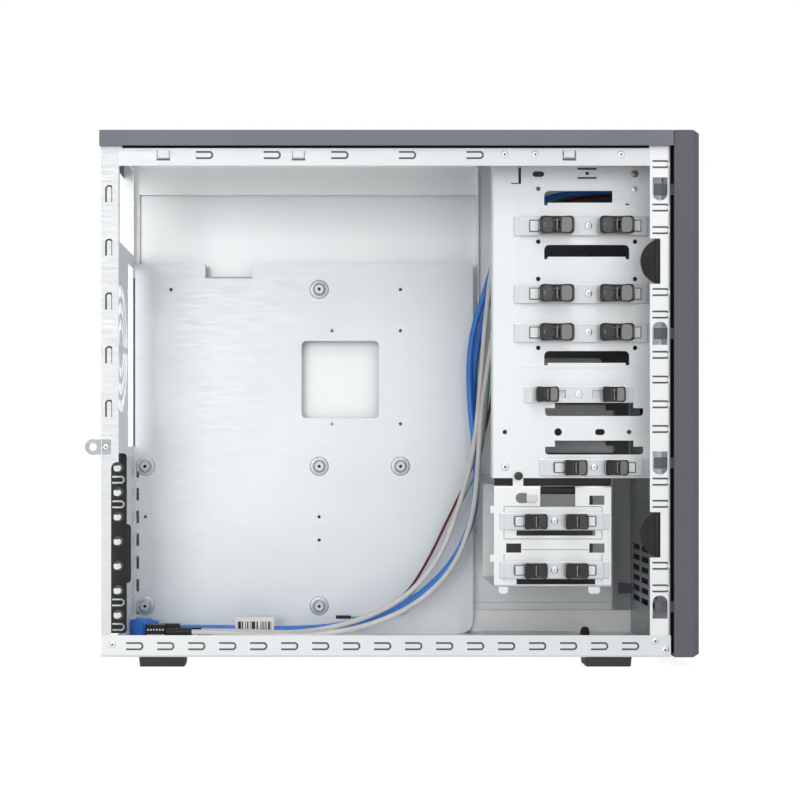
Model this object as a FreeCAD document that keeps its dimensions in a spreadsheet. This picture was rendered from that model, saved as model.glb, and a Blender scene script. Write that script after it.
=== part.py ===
import FreeCAD, Part
import math
import os
from types import SimpleNamespace

import Sketcher

# Mid-tower computer chassis with its left side open, in millimetres.
# +X points to the front bezel, -Y out of the open side and +Z up.
# The origin is on the surface that the feet stand on, under the middle of the case.

SIZES = {
    # Whole case and the folded sheet it is made of
    "case_depth": 480,
    "case_width": 200,
    "case_height": 430,
    "sheet": 1,
    "bend_radius": 2,
    "panel_recess": 5,
    "seat_gap": 0.3,
    # Feet
    "foot_height": 8,
    "foot_length": 36,
    "foot_width": 30,
    "foot_taper": 5,
    "foot_inset": 4,
    "front_foot_setback": 49.2,
    "rear_foot_inset": 48.7,
    # Spring slits that ground the side panels
    "slit_length": 13.8,
    "slit_height": 6.5,
    "slit_line": 1.5,
    "slit_corner": 1.9,
    "slit_inner_corner": 1,
    # Floor pan
    "floor_flange": 17.7,
    "floor_far_flange": 20.5,
    "floor_slit_first": 20.1,
    "floor_slit_pitch": 24.83,
    "floor_slit_count": 17,
    "floor_slit_rise": 9,
    # Rear panel: a wall set back from a rim
    "rear_recess": 9,
    "rear_strip": 14,
    "rear_slit_x": 6.5,
    "rear_slit_top_drop": 41.5,
    "rear_slit_pitch": 43,
    "rear_slit_count": 5,
    "rear_step_z": 164.5,
    "rear_narrow_strip": 8,
    "rear_step_round": 5,
    "supply_width": 126,
    "supply_height": 76,
    "supply_y": 17,
    "supply_top_drop": 6,
    "supply_screw_x": 138,
    "supply_screw_z": 64,
    "screw_hole": 1.8,
    "shield_width": 44.5,
    "shield_height": 158.7,
    "shield_z": 176,
    "shield_standoff": 6,
    "fan_screw_pitch": 105,
    "fan_y": -33,
    "fan_z": 258,
    "fan_hub": 16,
    "fan_ring": 9,
    "fan_web": 5,
    "fan_ring_count": 3,
    "fan_screw_hole": 2.2,
    # Expansion slots
    "slot_pitch": 20.32,
    "slot_count": 7,
    "slot_first_z": 159.3,
    "slot_gap": 14,
    "slot_near_reach": 114,
    "slot_far_reach": 12,
    "slot_shelf_reach": 118,
    "slot_cover_height": 18.4,
    "slot_cover_far": 7,
    "slot_tab_reach": 10,
    # Card retainer over the tabs of the slot covers
    "retainer_thickness": 1.5,
    "retainer_left": 1.6,
    "retainer_width": 14,
    "retainer_bulge": 17.5,
    "retainer_bulge_low": 63.6,
    "retainer_bulge_high": 112.4,
    "retainer_low": 22,
    "retainer_high": 171,
    "retainer_hole": 4.4,
    "retainer_round": 3,
    "retainer_slit_inset": 1.7,
    "retainer_slit": 10.5,
    # Padlock loop
    "loop_reach": 12,
    "loop_radius": 6.4,
    "loop_hole": 3.2,
    "loop_z": 176.6,
    "loop_tab_height": 12,
    "loop_window": 7,
    # Front panel
    "front_flange": 16.7,
    "front_slit_inset": 2,
    "slit_by_clip": 15,
    "slit_by_paddle": 24.8,
    "slit_row_below": 17.3,
    "slit_row_pitch": 19.8,
    "slit_row_count": 4,
    "clip_window_length": 12.1,
    "clip_window_height": 18.5,
    "clip_window_round": 5.5,
    "clip_first_z": 48.3,
    "clip_second_z": 163.8,
    "clip_third_drop": 160.3,
    "clip_fourth_drop": 44.6,
    "paddle_notch_depth": 8.4,
    "paddle_height": 36.4,
    "paddle_low_z": 106.2,
    "paddle_high_drop": 102.5,
    "vent_slot_width": 36,
    "vent_slot_height": 5,
    "vent_pitch_y": 42,
    "vent_pitch_z": 9,
    "vent_low_z": 40,
    "vent_first_y": -38,
    "vent_columns": 3,
    "vent_rows": 6,
    "port_window_width": 130,
    "port_window_low_drop": 42,
    "port_window_high_drop": 4,
    # Top frame and cover
    "rail_low_drop": 26,
    "rail_slit_first": 76,
    "rail_slit_pitch": 54.2,
    "rail_slit_count": 5,
    "rail_slit_drop": 17.5,
    "hook_width": 11,
    "hook_height": 8,
    "hook_low_drop": 22,
    "hook_first": 44.4,
    "hook_second": 152.7,
    "hook_third": 369.7,
    "cover_lip": 12.5,
    "cover_front_gap": 0.5,
    # Right side panel
    "panel_top_gap": 0.5,
    "panel_rib_z": 31.5,
    "panel_rib_height": 7,
    "panel_rib_depth": 1.5,
    "panel_rib_round": 1.7,
    # Motherboard tray and its standard hole pattern
    "tray_depth": 15,
    "tray_bay_gap": 4.5,
    "tray_top_z": 338.5,
    "tray_corner": 12,
    "board_inset": 165.4,
    "board_low_z": 33.8,
    "board_mid_rise": 124.46,
    "board_top_rise": 281.94,
    "board_rear_reach": 154.94,
    "board_front_reach": 72.39,
    "board_top_rear_shift": 22.86,
    "standoff_ring": 8,
    "standoff_ring_rise": 0.8,
    "standoff_tip": 3.4,
    "standoff_rise": 5.5,
    "standoff_taper": 18,
    "standoff_hole": 1.6,
    "cpu_window": 69,
    "cpu_window_back": 15.8,
    "cpu_window_z": 201,
    "cpu_window_round": 4.5,
    "spare_hole": 1.5,
    "spare_hole_rear": 27.2,
    "spare_hole_front": 88.2,
    "spare_hole_below": 5,
    "spare_hole_above": 78,
    "spare_hole_low_z": 92.5,
    "spare_hole_mid_z": 113.2,
    "tray_notch_back": 101.4,
    "tray_notch_width": 42,
    "tray_notch_depth": 12,
    "tongue_slot_height": 11,
    "tongue_slot_width": 2.4,
    "tongue_slot_inset": 2.5,
    "tongue_first_z": 153.8,
    # Drive bay walls
    "bay_width": 147,
    "bay_depth": 138.5,
    "bay_low_drop": 277.2,
    "bay_flange": 9,
    "bay_emboss_past": 21.8,
    "bay_emboss_drop": 186.6,
    "bay_emboss_rise": 0.8,
    "bay_emboss_round": 6,
    "bay_slot_past": 42.8,
    "bay_slot_length": 69.9,
    "bay_slot_height": 9.8,
    "bay_slot_round": 4,
    "bay_leg": 3,
    "bay_leg_depth": 2,
    "bay_shelf_reach": 8,
    "bay_slot_low_drop": 182.6,
    "bay_slot_mid_drop": 95.4,
    "bay_slot_high_drop": 51,
    "small_slot_past": 43.6,
    "small_slot_length": 80.6,
    "small_slot_height": 11.5,
    "small_slot_step": 5,
    "small_slot_end": 8,
    "small_slot_round": 2.5,
    "small_slot_low_drop": 257.9,
    "small_slot_high_drop": 226.2,
    "bay_hole": 2,
    "bay_hole_rise": 12.4,
    "bay_hole_rear_past": 37.9,
    "bay_hole_front_past": 117.4,
    "bay_top_hole_drop": 39.5,
    "bay_low_hole_drop": 239.4,
    "bay_low_hole_rear_past": 10.5,
    "bay_low_hole_front_past": 112.7,
    "bay_key_hole": 3.2,
    "bay_key_hole_past": 54.3,
    "bay_oval_past": 84.7,
    "bay_oval_length": 8,
    "bay_oval_height": 5,
    "bay_bridge_past": 70,
    "bay_bridge_drop": 31.3,
    "bay_bridge_length": 15.6,
    "bay_bridge_height": 8.3,
    "bay_bridge_rise": 1.6,
    "bay_window_past": 15.6,
    "bay_window_drop": 35.4,
    "bay_window_width": 8.3,
    "bay_window_height": 14.4,
    # Hard-drive cage
    "cage_rear_past": 1.5,
    "cage_length": 96.3,
    "cage_low_drop": 366.8,
    "cage_height": 83.4,
    "cage_width": 105,
    "cage_tab_past": 17,
    "cage_tab_width": 8.5,
    "cage_tab_top_drop": 268,
    "cage_screw_drop": 275.5,
    "cage_screw_head": 3.4,
    "cage_screw_rise": 2.4,
    "cage_notch_past": 39.5,
    "cage_notch_width": 28.8,
    "cage_notch_depth": 17.6,
    "cage_window_width": 12.4,
    "cage_window_height": 7.6,
    "cage_window_rear_past": 11.5,
    "cage_window_front_past": 79.8,
    "cage_window_low_drop": 338.5,
    "cage_window_high_drop": 299.2,
    "cage_slot_past": 20,
    "cage_slot_length": 64.7,
    "cage_slot_height": 4.4,
    "cage_slot_low_drop": 364.5,
    "cage_slot_high_drop": 324.5,
    "cage_hook_reach": 3,
    "cage_hook_height": 6,
    "cage_hook_low_drop": 346,
    "cage_hook_high_drop": 306,
    "handle_height": 6,
    "handle_reach": 9,
    "handle_round": 2,
    "handle_foot": 5,
    "latch_past": 28,
    "latch_length": 9,
    "latch_height": 6.5,
    "latch_drop": 297,
    "latch_rise": 2.5,
    "latch_round": 1.6,
    # Tool-free drive locks
    "strip_raise": 2.4,
    "strip_thickness": 1.2,
    "strip_foot": 5,
    "lock_gap": 0.4,
    "lock_foot_thickness": 1.3,
    "lock_foot_overlap": 1.6,
    "lock_corner": 3.2,
    "lock_waist": 1.3,
    "lock_hollow": 3,
    "lock_ridge": 1.5,
    "lock_rim": 2.4,
    "large_strip_past": 18,
    "large_strip_length": 114,
    "large_strip_height": 16,
    "large_strip_top_drop": 70.4,
    "large_strip_mid_drop": 126,
    "large_strip_low_drop": 157.8,
    "large_lock_length": 28.5,
    "large_lock_height": 17,
    "large_lock_depth": 12,
    "large_lock_slot": 7,
    "large_lock_travel": 7,
    "large_lock_rear_past": 51.5,
    "large_lock_front_past": 100.4,
    "small_strip_length": 90,
    "small_strip_height": 14,
    "small_lock_length": 19,
    "small_lock_height": 15,
    "small_lock_depth": 11,
    "small_lock_slot": 6,
    "inward_strip_past": 26,
    "inward_strip_drop": 208.5,
    "inward_lock_rear_past": 44,
    "inward_lock_front_past": 98.3,
    "inward_lock_travel": 8,
    "outward_strip_past": 38.5,
    "outward_strip_drop": 268.5,
    "outward_lock_rear_past": 67.2,
    "outward_lock_front_past": 100.8,
    "outward_lock_travel": 9,
    "cage_strip_past": 6,
    "cage_strip_high_drop": 312.5,
    "cage_strip_low_drop": 352.6,
    "cage_lock_rear_past": 34.6,
    "cage_lock_front_past": 68,
    "cage_lock_travel": 9,
    # Front bezel
    "bezel_depth": 20.5,
    "bezel_gap": 2,
    "bezel_wall": 2.6,
    "bezel_low_z": 8.6,
    "bezel_bevel": 5.5,
    "bezel_bevel_inset": 5,
    "bezel_top_slope": 2.4,
    "bezel_post": 6,
    "bezel_post_inset": 13,
    "clip_arm_height": 9,
    "clip_arm_thickness": 2,
    "clip_arm_inset": 1.8,
    "clip_arm_gap": 1.2,
    "clip_hook_reach": 2.6,
    "clip_hook_length": 5,
    "clip_arm_end_setback": 12.5,
    "cover_gap": 0.4,
    "cover_flange": 1.5,
    "cover_flange_reach": 2.5,
    "large_cover_gap": 1,
    "large_cover_height": 41.5,
    "large_cover_pitch": 43.5,
    "large_cover_low_drop": 180,
    "small_cover_width": 102,
    "small_cover_height": 25.4,
    "small_cover_pitch": 30,
    "small_cover_low_drop": 244.5,
    "grille_slot_width": 140,
    "grille_slot_height": 5,
    "grille_pitch": 10,
    "grille_low_z": 32,
    "grille_count": 12,
    "power_radius": 7,
    "power_inset": 23,
    "reset_radius": 3.2,
    "reset_inset": 41,
    "button_drop": 25,
    "button_rim": 1.5,
    "button_rim_thickness": 1.5,
    # Front port board
    "board_thickness": 1.6,
    "board_width": 112,
    "board_height": 26,
    "board_centre_y": 10,
    "board_gap": 6,
    "port_width": 14,
    "port_height": 6.6,
    "port_pitch": 20,
    "port_count": 4,
    "port_gap": 0.3,
    # Bezel release paddles
    "paddle_barrel": 2.2,
    "paddle_axis_setback": 10.5,
    "paddle_axis_depth": 1.8,
    "paddle_reach": 13.5,
    "paddle_thickness": 2.4,
    # Cords and their plugs
    "blue_cord": 5.5,
    "grey_cord": 4.5,
    "lead_cord": 2.4,
    "blue_plug_length": 24,
    "blue_plug_width": 16,
    "blue_plug_height": 17,
    "header_length": 17,
    "header_width": 7,
    "header_height": 13,
    "lead_plug_length": 13,
    "lead_plug_width": 5.2,
    "lead_plug_height": 2.8,
    "tag_length": 34,
    "tag_height": 15,
    "tag_thickness": 0.6,
    "tag_shift": 9,
    "tag_lift": 3,
}


class Size:
    """A length that carries its number and the spreadsheet formula that gives it."""

    def __init__(self, number, formula):
        self.number = number
        self.formula = formula

    def __add__(self, other):
        other = as_size(other)
        return Size(self.number + other.number, f"({self.formula} + {other.formula})")

    def __sub__(self, other):
        other = as_size(other)
        return Size(self.number - other.number, f"({self.formula} - {other.formula})")

    def __mul__(self, factor):
        factor = as_size(factor)
        return Size(self.number * factor.number, f"({self.formula} * {factor.formula})")

    def __truediv__(self, factor):
        factor = as_size(factor)
        return Size(self.number / factor.number, f"({self.formula} / {factor.formula})")

    def __neg__(self):
        return Size(-self.number, f"(0 - {self.formula})")


def as_size(value):
    """A plain number as a Size."""
    if isinstance(value, Size):
        return value
    return Size(float(value), f"({float(value)})")


doc = FreeCAD.newDocument("MidTower")
table = doc.addObject("Spreadsheet::Sheet", "Sizes")
for row, (name, value) in enumerate(SIZES.items(), start=1):
    table.set(f"A{row}", name)
    table.set(f"B{row}", str(value))
    table.setAlias(f"B{row}", name)
doc.recompute()
dim = SimpleNamespace(**{name: Size(float(value), f"Sizes.{name}") for name, value in SIZES.items()})
pieces = []
cords = []

# Planes that several pieces share
half_width = dim.case_width / 2
nose_x = (dim.case_depth + dim.loop_reach) / 2
rear_x = nose_x - dim.case_depth
rim_x = rear_x + dim.sheet
rear_wall_x = rim_x + dim.rear_recess
rear_wall_in_x = rear_wall_x + dim.sheet
rear_strip_x = rim_x + dim.rear_strip
bezel_x = nose_x - dim.bezel_depth
bezel_in_x = nose_x - dim.bezel_wall
front_x = bezel_x - dim.bezel_gap
front_in_x = front_x - dim.sheet
front_strip_x = front_x - dim.front_flange
far_y = half_width - dim.panel_recess
near_y = -far_y
near_in_y = near_y + dim.sheet
far_in_y = far_y - dim.sheet
floor_z = dim.foot_height
floor_in_z = floor_z + dim.sheet
floor_flange_z = floor_z + dim.floor_flange
floor_far_flange_z = floor_z + dim.floor_far_flange
cover_in_z = dim.case_height - dim.sheet
roof_z = cover_in_z - dim.sheet

# A size that ends in _drop is measured down from the roof, one in _past forward from the rear
# edge of the drive bays, and one in _setback back from the front panel.
bay_x = front_in_x - dim.bay_depth
at = SimpleNamespace()
for name in SIZES:
    stem, _, kind = name.rpartition("_")
    if kind == "drop":
        setattr(at, f"{stem}_z", roof_z - getattr(dim, name))
    elif kind == "past":
        setattr(at, f"{stem}_x", bay_x + getattr(dim, name))
    elif kind == "setback":
        setattr(at, f"{stem}_x", front_x - getattr(dim, name))

tray_y = far_in_y - (dim.bend_radius - dim.sheet) - dim.tray_depth
tray_front_x = bay_x - dim.tray_bay_gap
slot_near_y = tray_y - dim.slot_near_reach
slot_far_y = tray_y - dim.slot_far_reach
slot_shelf_y = tray_y - dim.slot_shelf_reach
rear_foot_x = rim_x + dim.rear_foot_inset
bay_far_y = far_in_y - dim.sheet
bay_in_y = bay_far_y - dim.bay_width
bay_y = bay_in_y - dim.sheet
emboss_y = bay_y - dim.bay_emboss_rise
cage_y = bay_y - dim.sheet
large_cover_width = dim.bay_width - dim.large_cover_gap
power_y = near_y + dim.power_inset
reset_y = near_y + dim.reset_inset
bezel_post_y = far_y - dim.bezel_post_inset
cage_top_z = at.cage_low_z + dim.cage_height
clip_heights = [dim.clip_first_z, dim.clip_second_z, at.clip_third_z, at.clip_fourth_z]
far_clip_heights = [dim.clip_first_z, dim.clip_second_z, at.clip_fourth_z]
arm_near_y = near_in_y + dim.clip_arm_inset
arm_far_y = arm_near_y + dim.clip_arm_thickness
board_x = rear_wall_in_x + dim.board_inset
cpu_window_x = board_x - dim.cpu_window_back
tray_notch_x = board_x - dim.tray_notch_back
board_mid_z = dim.board_low_z + dim.board_mid_rise
board_top_z = dim.board_low_z + dim.board_top_rise
board_rear_x = board_x - dim.board_rear_reach
board_front_x = board_x + dim.board_front_reach


# Sketches and features

# Flats of a rounded corner, the radius from which it counts as large, and sides of round outlines
SMALL_CORNER_FLATS = 2
LARGE_CORNER_FLATS = 4
LARGE_CORNER = 3
HOLE_SIDES = 8
BOSS_SIDES = 12
RING_SIDES = 24
DISC_SIDES = 36
CORD_SIDES = 6

PLANE_ROLES = {"XY": "XY_Plane", "XZ": "XZ_Plane", "YZ": "YZ_Plane"}


def circle(x, y, radius):
    """A round outline."""
    return SimpleNamespace(x=x, y=y, radius=radius)


def rect(left, low, right, high, radius=None):
    """A rectangle, with its corners rounded where a radius is given."""
    corners = [(left, low), (right, low), (right, high), (left, high)]
    if radius is None:
        return corners
    return [corner + (radius,) for corner in corners]


def ring(x, y, radius, sides):
    """A round outline made of even flats."""
    turns = [2 * math.pi * index / sides for index in range(sides)]
    return [(x + radius * math.cos(turn), y + radius * math.sin(turn)) for turn in turns]


def slit(start, middle, length=dim.slit_length, upright=False):
    """The U of a spring slit: open at its start, its tip cut at the corners."""
    half = dim.slit_height / 2
    inner = half - dim.slit_line
    tip = start + length
    inner_tip = tip - dim.slit_line
    corner, inner_corner = dim.slit_corner, dim.slit_inner_corner
    outline = [
        (start, middle + half),
        (tip - corner, middle + half),
        (tip, middle + half - corner),
        (tip, middle - half + corner),
        (tip - corner, middle - half),
        (start, middle - half),
        (start, middle - inner),
        (inner_tip - inner_corner, middle - inner),
        (inner_tip, middle - inner + inner_corner),
        (inner_tip, middle + inner - inner_corner),
        (inner_tip - inner_corner, middle + inner),
        (start, middle + inner),
    ]
    if not upright:
        return outline
    return [(y, x) for x, y in outline]


def direction(start, end):
    """The unit step from one corner to the next, as plain numbers."""
    step_x = end[0].number - start[0].number
    step_y = end[1].number - start[1].number
    length = math.hypot(step_x, step_y)
    return step_x / length, step_y / length


def same_place(one, other):
    """True where two points fall together."""
    return math.hypot(one[0].number - other[0].number, one[1].number - other[1].number) < 1e-6


def outline_points(corners):
    """The points of an outline; a rounded corner becomes a few flats along its arc."""
    points = []
    for index, corner in enumerate(corners):
        if len(corner) == 2:
            points.append(corner)
            continue
        x, y, radius = corner
        into = direction(corners[index - 1], corner)
        out = direction(corner, corners[(index + 1) % len(corners)])
        flats = LARGE_CORNER_FLATS if radius.number >= LARGE_CORNER else SMALL_CORNER_FLATS
        for step in range(flats + 1):
            angle = math.pi / 2 * step / flats
            back, onward = 1 - math.sin(angle), 1 - math.cos(angle)
            point = (x + radius * (round(out[0]) * onward - round(into[0]) * back),
                     y + radius * (round(out[1]) * onward - round(into[1]) * back))
            if not points or not same_place(points[-1], point):
                points.append(point)
    return points


def draw_outline(sketch, corners):
    """Draws a closed outline and binds each of its points to the spreadsheet."""
    points = outline_points(corners)
    first = sketch.GeometryCount
    places = [FreeCAD.Vector(x.number, y.number) for x, y in points]
    following = places[1:] + places[:1]
    sketch.addGeometry([Part.LineSegment(start, end) for start, end in zip(places, following)], False)
    rules = []
    formulas = []
    for edge, (x, y) in enumerate(points, start=first):
        rules.append(Sketcher.Constraint("DistanceX", -1, 1, edge, 1, x.number))
        rules.append(Sketcher.Constraint("DistanceY", -1, 1, edge, 1, y.number))
        formulas += [x.formula, y.formula]
    count = sketch.ConstraintCount
    sketch.addConstraint(rules)
    for offset, formula in enumerate(formulas):
        sketch.setExpression(f"Constraints[{count + offset}]", formula)
    last = first + len(points) - 1
    joints = [Sketcher.Constraint("Coincident", edge, 2, edge + 1, 1) for edge in range(first, last)]
    joints.append(Sketcher.Constraint("Coincident", last, 2, first, 1))
    sketch.addConstraint(joints)


def draw_circle(sketch, ring):
    """Draws a circle and binds its centre and radius to the spreadsheet."""
    edge = sketch.GeometryCount
    centre = FreeCAD.Vector(ring.x.number, ring.y.number)
    sketch.addGeometry(Part.Circle(centre, FreeCAD.Vector(0, 0, 1), ring.radius.number), False)
    count = sketch.ConstraintCount
    sketch.addConstraint([
        Sketcher.Constraint("Radius", edge, ring.radius.number),
        Sketcher.Constraint("DistanceX", -1, 1, edge, 3, ring.x.number),
        Sketcher.Constraint("DistanceY", -1, 1, edge, 3, ring.y.number),
    ])
    for offset, value in enumerate((ring.radius, ring.x, ring.y)):
        sketch.setExpression(f"Constraints[{count + offset}]", value.formula)


def new_body(label):
    """An empty body for one sub-part."""
    body = doc.addObject("PartDesign::Body", label)
    body.Label = label
    pieces.append(body)
    return body


def feature(body, kind, plane, level, length, outlines, taper=None):
    """A Pad that grows, or a Pocket that cuts, from the level along the positive axis of its plane."""
    sketch = body.newObject("Sketcher::SketchObject", f"{body.Name}_outline")
    base = next(item for item in body.Origin.OriginFeatures if item.Role == PLANE_ROLES[plane])
    sketch.AttachmentSupport = [(base, "")]
    sketch.MapMode = "FlatFace"
    offset = -level if plane == "XZ" else level
    sketch.setExpression("AttachmentOffset.Base.z", offset.formula)
    for outline in outlines:
        if isinstance(outline, SimpleNamespace):
            draw_circle(sketch, outline)
        else:
            draw_outline(sketch, outline)
    result = body.newObject(f"PartDesign::{kind}", f"{body.Name}_{kind.lower()}")
    result.Profile = sketch
    result.setExpression("Length", length.formula)
    result.Reversed = (plane == "XZ") == (kind == "Pad")
    if taper is not None:
        result.setExpression("TaperAngle", taper.formula)
    return result


def pad(body, plane, level, length, *outlines, taper=None):
    """Adds material from a level along the positive axis."""
    return feature(body, "Pad", plane, level, length, outlines, taper)


def pocket(body, plane, level, length, *outlines):
    """Removes material from a level along the positive axis."""
    return feature(body, "Pocket", plane, level, length, outlines)


def in_groups(make, body, plane, level, length, *outlines, **more):
    """Pads or pockets many outlines, a few to each sketch."""
    group = 4
    for first in range(0, len(outlines), group):
        make(body, plane, level, length, *outlines[first:first + group], **more)


def repeat(body, original, axis, pitch, count, backwards=False):
    """Repeats a feature in a row."""
    row = body.newObject("PartDesign::LinearPattern", f"{body.Name}_row")
    row.Originals = [original]
    line = next(item for item in body.Origin.OriginFeatures if item.Role == f"{axis}_Axis")
    row.Direction = (line, [""])
    row.Reversed = backwards
    row.setExpression("Length", (pitch * (count - 1)).formula)
    row.setExpression("Occurrences", count.formula)
    body.Tip = row
    return row


def check_volumes(body):
    """Every pad of a body has added material and every pocket has taken some away."""
    volume = 0
    for step in body.Group:
        if step.isDerivedFrom("PartDesign::Feature"):
            changed = step.Shape.Volume - volume
            if step.isDerivedFrom("PartDesign::Pad") and changed <= 0:
                raise ValueError(f"{step.Name} adds nothing")
            if step.isDerivedFrom("PartDesign::Pocket") and changed >= 0:
                raise ValueError(f"{step.Name} cuts nothing")
            volume = step.Shape.Volume


# Share of a cord's shorter run that each bend takes up
ARC_SHARE = 0.45

# Routes of the front-panel cords, from the port board to their plugs
CORDS = {
    "blue_cord_one": ("blue_cord", [
        (235.8, 44, 404), (190, 44, 404), (142, 44, 402), (104, 44, 376), (92, 44, 324),
        (74, 44, 272), (73, 44, 218), (80, 44, 165), (79, 44, 115), (58, 44, 70),
        (18, 44, 36), (-32, 44, 19), (-88, 44, 15.5), (-145, 44, 17), (-198, 44, 17),
    ]),
    "blue_cord_two": ("blue_cord", [
        (235.8, 51, 401), (188, 51, 401), (140, 51, 396), (106, 51, 368), (95, 51, 318),
        (80, 51, 266), (76, 51, 212), (81, 51, 160), (78, 51, 110), (55, 51, 66),
        (13, 51, 33), (-38, 51, 18), (-92, 50.6, 15.6), (-148, 51, 17), (-198, 51, 17),
    ]),
    "grey_cord_one": ("grey_cord", [
        (235.8, 36, 406), (186, 36, 406), (136, 36, 403), (100, 36, 383), (92, 36, 330),
        (86, 36, 278), (82, 36, 224), (77, 36, 172), (64, 36, 124), (48, 36, 80),
        (20, 36, 46), (-20, 36, 25), (-72, 36.4, 13.4), (-126, 36, 15.8), (-179, 36, 15.8),
    ]),
    "grey_cord_two": ("grey_cord", [
        (235.8, 28, 400), (186, 28, 400), (134, 28, 398), (103, 28, 370), (97, 28, 318),
        (92, 28, 266), (83, 28, 214), (80, 28, 164), (76, 28, 116), (60, 28, 72),
        (28, 28, 40), (-14, 28, 21), (-60, 28, 12.8), (-106, 28, 13.6), (-150, 28, 15.8),
        (-191, 28, 15.8),
    ]),
    "red_lead": ("lead_cord", [
        (235.8, 62, 398), (188, 62, 398), (140, 62, 388), (110, 62, 352), (102, 62, 300),
        (98, 62, 248), (92, 62, 198), (76, 62, 153), (57, 62, 114), (39, 62, 76),
        (19, 62, 44), (-10, 62, 28), (-56, 61.5, 14), (-106, 62, 10.7), (-152, 62, 10.7),
    ]),
    "green_lead": ("lead_cord", [
        (235.8, 57, 402), (188, 57, 402), (138, 57, 393), (108, 57, 360), (99, 57, 310),
        (93, 57, 258), (90, 57, 208), (84, 57, 161), (64, 57, 120), (46, 57, 80),
        (26, 57, 46), (-4, 57, 25.9), (-30, 57, 25.9),
    ]),
}

# Folded steel frame


def make_floor_pan():
    """A U of sheet: the floor with a short flange up each side, slit along the near one."""
    body = new_body("floor_pan")
    inner_bend = dim.bend_radius - dim.sheet
    section = [
        (near_y, floor_flange_z),
        (near_y, floor_z, dim.bend_radius),
        (far_y, floor_z, dim.bend_radius),
        (far_y, floor_far_flange_z),
        (far_in_y, floor_far_flange_z),
        (far_in_y, floor_in_z, inner_bend),
        (near_in_y, floor_in_z, inner_bend),
        (near_in_y, floor_flange_z),
    ]
    pad(body, "YZ", rim_x, front_x - rim_x, section)
    first = slit(rim_x + dim.floor_slit_first, floor_z + dim.floor_slit_rise)
    cut = pocket(body, "XZ", near_y, dim.sheet, first)
    repeat(body, cut, "X", dim.floor_slit_pitch, dim.floor_slit_count)


def make_rear_panel():
    """The rear wall, set back from its rim, with the openings for supply, ports, fan and cards."""
    body = new_body("rear_panel")
    section = [
        (rim_x, near_y),
        (rear_strip_x, near_y),
        (rear_strip_x, near_in_y),
        (rear_wall_in_x, near_in_y),
        (rear_wall_in_x, far_in_y),
        (rear_strip_x, far_in_y),
        (rear_strip_x, far_y),
        (rim_x, far_y),
        (rim_x, far_in_y),
        (rear_wall_x, far_in_y),
        (rear_wall_x, near_in_y),
        (rim_x, near_in_y),
    ]
    pad(body, "XY", floor_in_z, roof_z - floor_in_z, section)
    depth = dim.rear_strip
    near_foot = rect(near_y, floor_in_z, near_y + dim.bend_radius, floor_flange_z)
    far_foot = rect(far_y - dim.bend_radius, floor_in_z, far_y, floor_far_flange_z)
    pocket(body, "YZ", rim_x, depth, near_foot, far_foot)
    first = slit(at.rear_slit_top_z - dim.slit_length, rim_x + dim.rear_slit_x, upright=True)
    cut = pocket(body, "XZ", near_y, dim.sheet, first)
    repeat(body, cut, "Z", dim.rear_slit_pitch, dim.rear_slit_count, backwards=True)
    narrow_x = rim_x + dim.rear_narrow_strip
    step = [
        (narrow_x, floor_flange_z),
        (rear_strip_x, floor_flange_z),
        (rear_strip_x, dim.rear_step_z),
        (narrow_x, dim.rear_step_z, dim.rear_step_round),
    ]
    loop_low = dim.loop_z - dim.loop_tab_height / 2
    loop_window = rect(rim_x + dim.sheet, loop_low, rim_x + dim.sheet + dim.loop_window,
                       loop_low + dim.loop_tab_height)
    pocket(body, "XZ", near_y, dim.sheet, step, loop_window)
    card_access = rect(near_in_y, dim.retainer_low, slot_shelf_y - dim.sheet, dim.retainer_high)
    half_slot = dim.slot_gap / 2
    card_slot = rect(slot_near_y, dim.slot_first_z - half_slot,
                     slot_far_y, dim.slot_first_z + half_slot)
    pocket(body, "YZ", rear_wall_x, dim.sheet, card_access)
    cut = pocket(body, "YZ", rear_wall_x, dim.sheet, card_slot)
    repeat(body, cut, "Z", dim.slot_pitch, dim.slot_count, backwards=True)
    shelf = rect(rim_x, dim.retainer_low, rear_wall_x, dim.retainer_high)
    pad(body, "XZ", slot_shelf_y - dim.sheet, dim.sheet, shelf)
    supply_top = at.supply_top_z
    supply_low = supply_top - dim.supply_height
    supply_left = dim.supply_y - dim.supply_width / 2
    supply = rect(supply_left, supply_low, supply_left + dim.supply_width, supply_top)
    shield_y = tray_y - dim.shield_standoff
    shield = rect(shield_y - dim.shield_width, dim.shield_z, shield_y, dim.shield_z + dim.shield_height)
    half_fan = dim.fan_screw_pitch / 2
    fan_screws = [
        circle(dim.fan_y + half_fan * side, dim.fan_z + half_fan * level, dim.fan_screw_hole)
        for side in (-1, 1)
        for level in (-1, 1)
    ]
    supply_z = supply_low + dim.supply_height / 2
    supply_screws = [
        circle(dim.supply_y + dim.supply_screw_x / 2 * side,
               supply_z + dim.supply_screw_z / 2 * level, dim.screw_hole)
        for side in (-1, 1)
        for level in (-1, 1)
    ]
    pocket(body, "YZ", rear_wall_x, dim.sheet, supply)
    pocket(body, "YZ", rear_wall_x, dim.sheet, shield)
    pocket(body, "YZ", rear_wall_x, dim.sheet, *fan_screws, *supply_screws)
    make_fan_grille(body)


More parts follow.
